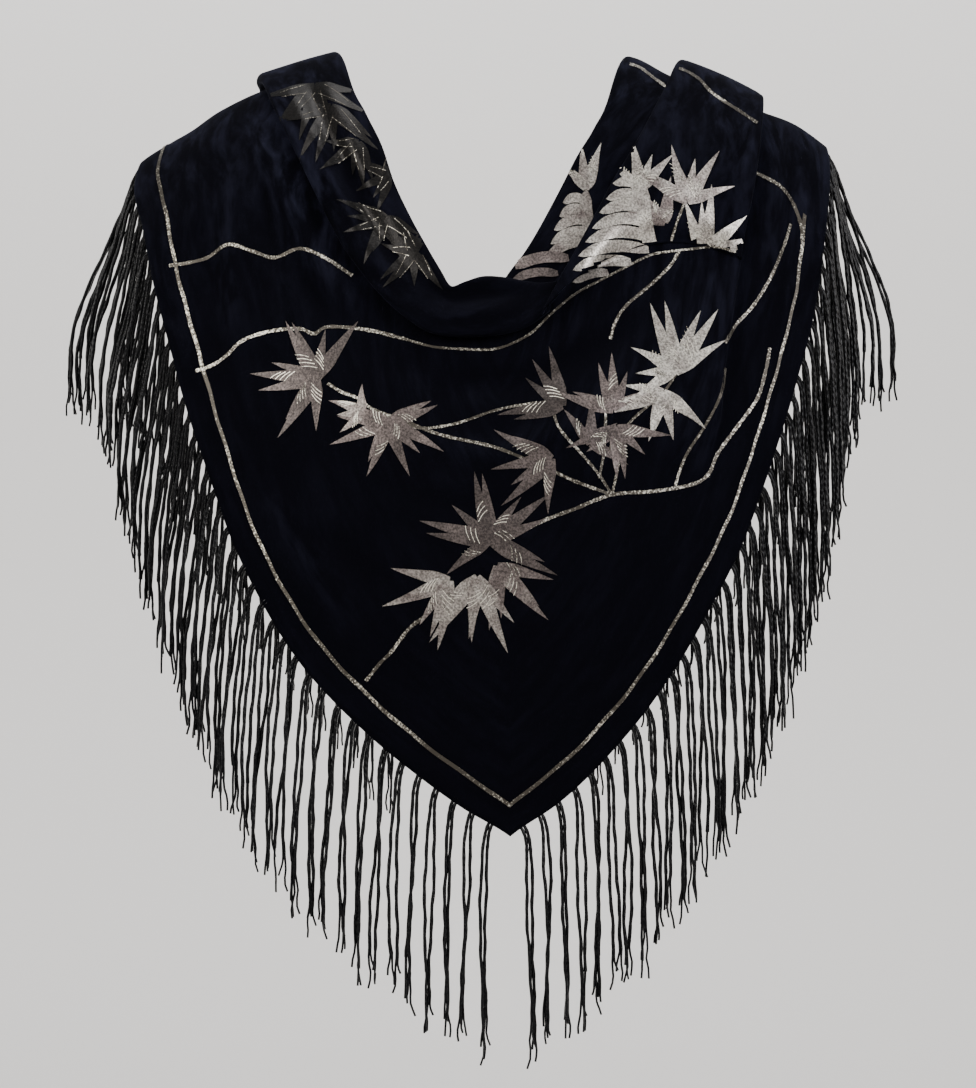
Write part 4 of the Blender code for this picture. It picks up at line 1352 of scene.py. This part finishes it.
class ScarfLooks(bpy.types.PropertyGroup):
    """Colours and sizes that a user would change."""

    deep: bpy.props.StringProperty(
        name="Velvet", description="Colour of the upright pile, sRGB hex", default="#020206"
    )
    # The brushed velvet colour is a painted sheen, mixed in where the sheen mask is high
    brushed: bpy.props.StringProperty(
        name="Brushed velvet", description="Colour of pile brushed aside, sRGB hex", default="#13141f"
    )
    # The shaded thread colour is painted shade on the cowl's leaves; the silver is partly painted
    # highlight
    shaded: bpy.props.StringProperty(
        name="Shaded thread", description="Darkest tone of the leaves, sRGB hex", default="#151312"
    )
    pewter: bpy.props.StringProperty(
        name="Pewter thread", description="Middle tone of the leaves, sRGB hex", default="#6b615e"
    )
    silver: bpy.props.StringProperty(
        name="Silver thread", description="Lightest tone of the leaves, sRGB hex", default="#c4bfb5"
    )
    line: bpy.props.StringProperty(
        name="Line", description="Dark tone of the stems and frame, sRGB hex", default="#39342d"
    )
    glint: bpy.props.StringProperty(
        name="Glints", description="Bright tone of the stems and frame, sRGB hex", default="#e2dccd"
    )
    yarn: bpy.props.StringProperty(
        name="Yarn", description="Colour of the fringe, sRGB hex", default="#040405"
    )
    yarn_worn: bpy.props.StringProperty(
        name="Yarn fibres", description="Lighter fibres of the fringe, sRGB hex", default="#0a0a0c"
    )
    paper: bpy.props.StringProperty(
        name="Backdrop", description="Colour of the sweep, sRGB hex", default="#d6d4d2"
    )
    yarn_radius: bpy.props.FloatProperty(
        name="Cord radius", description="Radius of one cord of a tassel, in millimetres", default=1.08,
        min=0.4, max=2.0
    )
    pitch_front: bpy.props.FloatProperty(
        name="Front pitch", description="Distance between tassels in front, in millimetres",
        default=11.7, min=5.0
    )
    pitch_back: bpy.props.FloatProperty(
        name="Back pitch", description="Distance between tassels on the back, in millimetres",
        default=15.5, min=5.0
    )


def looks_of(context):
    group = context.scene.scarf_looks
    return {name: getattr(group, name) for name in ScarfLooks.__annotations__}


class SCARF_OT_front(bpy.types.Operator):
    """Makes the wide front of the scarf with the ends behind it"""

    bl_idname = "scarf.front"
    bl_label = "Velvet front"

    def execute(self, context):
        made = build_front(looks_of(context))
        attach(made, "root")
        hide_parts("front_drop", "left_tail", "right_tail")
        return {"FINISHED"}


class SCARF_OT_cowl(bpy.types.Operator):
    """Makes the rolled cowl below the neck"""

    bl_idname = "scarf.cowl"
    bl_label = "Cowl"

    def execute(self, context):
        made = build_cowl(looks_of(context))
        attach(made, "root")
        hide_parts("neck_roll")
        return {"FINISHED"}


class SCARF_OT_pleats(bpy.types.Operator):
    """Makes the two pleats over the right shoulder"""

    bl_idname = "scarf.pleats"
    bl_label = "Shoulder pleats"

    def execute(self, context):
        for build, node in (
            (build_inner_pleat, "right_inner_pleat"), (build_middle_pleat, "right_middle_pleat")
        ):
            made = build(looks_of(context))
            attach(made, "root")
            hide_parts(node)
        return {"FINISHED"}


class SCARF_OT_pattern(bpy.types.Operator):
    """Lays the woven leaves, stems and frame line on the velvet"""

    bl_idname = "scarf.pattern"
    bl_label = "Woven pattern"

    def execute(self, context):
        looks = looks_of(context)
        for made in (*build_sprays(looks), build_lines(looks)):
            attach(made, "root")
        return {"FINISHED"}


class SCARF_OT_fringe(bpy.types.Operator):
    """Hangs the tassels on both edges, in front and behind"""

    bl_idname = "scarf.fringe"
    bl_label = "Fringe"

    def execute(self, context):
        looks = looks_of(context)
        seam_left = (Section(SEAM, -200, SEAM_FALL, -87, SEAM_FALL),) + LEFT_TAIL
        seam_right = (Section(SEAM, 193, SEAM_FALL, 79, SEAM_FALL),) + RIGHT_TAIL
        front, back = looks["pitch_front"], looks["pitch_back"]
        build_fringe(
            "tassels_front_left", plain_edge(DROP_LEFT, 60), HANG_FRONT_LEFT, front, (14.0, 5.0), looks,
            1, "front_left_fringe"
        )
        right = tuple(reversed(DROP_RIGHT))
        build_fringe(
            "tassels_front_right", plain_edge(right, 60), HANG_FRONT_RIGHT, front, (14.0, 5.0), looks,
            1, "front_right_fringe"
        )
        build_fringe(
            "tassels_back_left", plain_edge(seam_left, 40), HANG_BACK, back, (4.0, 4.0), looks, -1,
            "back_left_fringe"
        )
        build_fringe(
            "tassels_back_right", plain_edge(seam_right, 40), HANG_BACK, back, (4.0, 4.0), looks, 1,
            "back_right_fringe"
        )
        return {"FINISHED"}


class SCARF_OT_cut(bpy.types.Operator):
    """Prints the area of every stretch of velvet"""

    bl_idname = "scarf.cut"
    bl_label = "State the cut"

    def execute(self, context):
        for name in SHEETS.values():
            obj = bpy.data.objects[name]
            area = area_of(obj)
            print(f"{name}: {area:.4f} m2")
        tassels = [o for o in bpy.data.objects if o.name.startswith("tassels_")]
        return {"FINISHED"}


class SCARF_OT_stage(bpy.types.Operator):
    """Makes the pale sweep, the soft lights and the camera"""

    bl_idname = "scarf.stage"
    bl_label = "Stage"

    def execute(self, context):
        looks = looks_of(context)
        bm = bmesh.new()
        # A round floor whose rim rises in a soft curve, so that every side has a plain pale ground.
        bmesh.ops.create_grid(bm, x_segments=96, y_segments=30, size=1.0)
        for vertex in bm.verts:
            way = vertex.co.x * math.pi
            t = (vertex.co.y + 1) / 2
            if t < 0.5:
                reach, z = t / 0.5 * 2.4, -0.95
            elif t < 0.8:
                turn = (t - 0.5) / 0.3 * math.pi / 2
                reach, z = 2.4 + 0.9 * math.sin(turn), -0.95 + 0.9 * (1 - math.cos(turn))
            else:
                reach, z = 3.3, -0.05 + (t - 0.8) / 0.2 * 1.0
            vertex.co = Vector((reach * math.cos(way), reach * math.sin(way), z))
        bmesh.ops.remove_doubles(bm, verts=bm.verts, dist=1e-5)
        bmesh.ops.recalc_face_normals(bm, faces=bm.faces)
        if sum(face.normal.z for face in bm.faces) < 0:
            bmesh.ops.reverse_faces(bm, faces=bm.faces)
        sweep = finished("paper_sweep", bm, backdrop_material(looks))

        def softbox(name, place, towards, size, power, tint):
            light = bpy.data.lights.new(name, "AREA")
            light.shape = "RECTANGLE"
            light.size, light.size_y = size
            light.energy = power
            light.color = linear(tint)[:3]
            holder = bpy.data.objects.new(name, light)
            holder.location = place
            holder.rotation_euler = (Vector(towards) - Vector(place)).to_track_quat("-Z", "Y").to_euler()
            context.scene.collection.objects.link(holder)

        softbox("window_left", (-1.5, -1.6, 0.9), (0, 0, -0.2), (1.0, 1.3), 54, "#fffdf8")
        softbox("window_right", (1.6, -1.3, 0.6), (0, 0, -0.2), (0.9, 1.3), 40, "#fbfbff")
        softbox("overhead", (0.0, -0.2, 1.7), (0, 0, -0.1), (1.4, 0.9), 36, "#ffffff")
        softbox("wall_wash", (0.0, 1.8, 1.9), (0, 3.3, 0.3), (3.0, 0.6), 85, "#ffffff")
        world = bpy.data.worlds.new("studio")
        world.use_nodes = True
        world.node_tree.nodes["Background"].inputs["Color"].default_value = linear("#e4e4e6")
        world.node_tree.nodes["Background"].inputs["Strength"].default_value = 0.4
        context.scene.world = world

        lens = bpy.data.cameras.new("view_camera")
        lens.sensor_width = 36.0
        lens.lens = 36.0 * 3454.5 / 1088
        camera = bpy.data.objects.new("view_camera", lens)
        camera.location = (-0.0011, -2.030, -0.244)
        camera.rotation_euler = (math.radians(90), 0, 0)
        context.scene.collection.objects.link(camera)
        context.scene.camera = camera
        return {"FINISHED"}


OPERATORS = (
    SCARF_OT_front, SCARF_OT_cowl, SCARF_OT_pleats, SCARF_OT_pattern, SCARF_OT_fringe, SCARF_OT_cut,
    SCARF_OT_stage
)


class SCARF_PT_panel(bpy.types.Panel):
    bl_label = "Scarf"
    bl_idname = "SCARF_PT_panel"
    bl_space_type = "VIEW_3D"
    bl_region_type = "UI"
    bl_category = "Scarf"

    def draw(self, context):
        for name in ScarfLooks.__annotations__:
            self.layout.prop(context.scene.scarf_looks, name)
        for operator in OPERATORS:
            self.layout.operator(operator.bl_idname)


CLASSES = (ScarfLooks, *OPERATORS, SCARF_PT_panel)


def register():
    """Registers the classes and the properties."""
    for cls in CLASSES:
        bpy.utils.register_class(cls)
    bpy.types.Scene.scarf_looks = bpy.props.PointerProperty(type=ScarfLooks)


def unregister():
    """Takes them out again."""
    del bpy.types.Scene.scarf_looks
    for cls in reversed(CLASSES):
        bpy.utils.unregister_class(cls)


def main():
    """Registers the add-on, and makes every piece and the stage."""
    register()
    for name in ("front", "cowl", "pleats", "pattern", "fringe", "cut", "stage"):
        getattr(bpy.ops.scarf, name)()


if __name__ == "__main__":
    main()
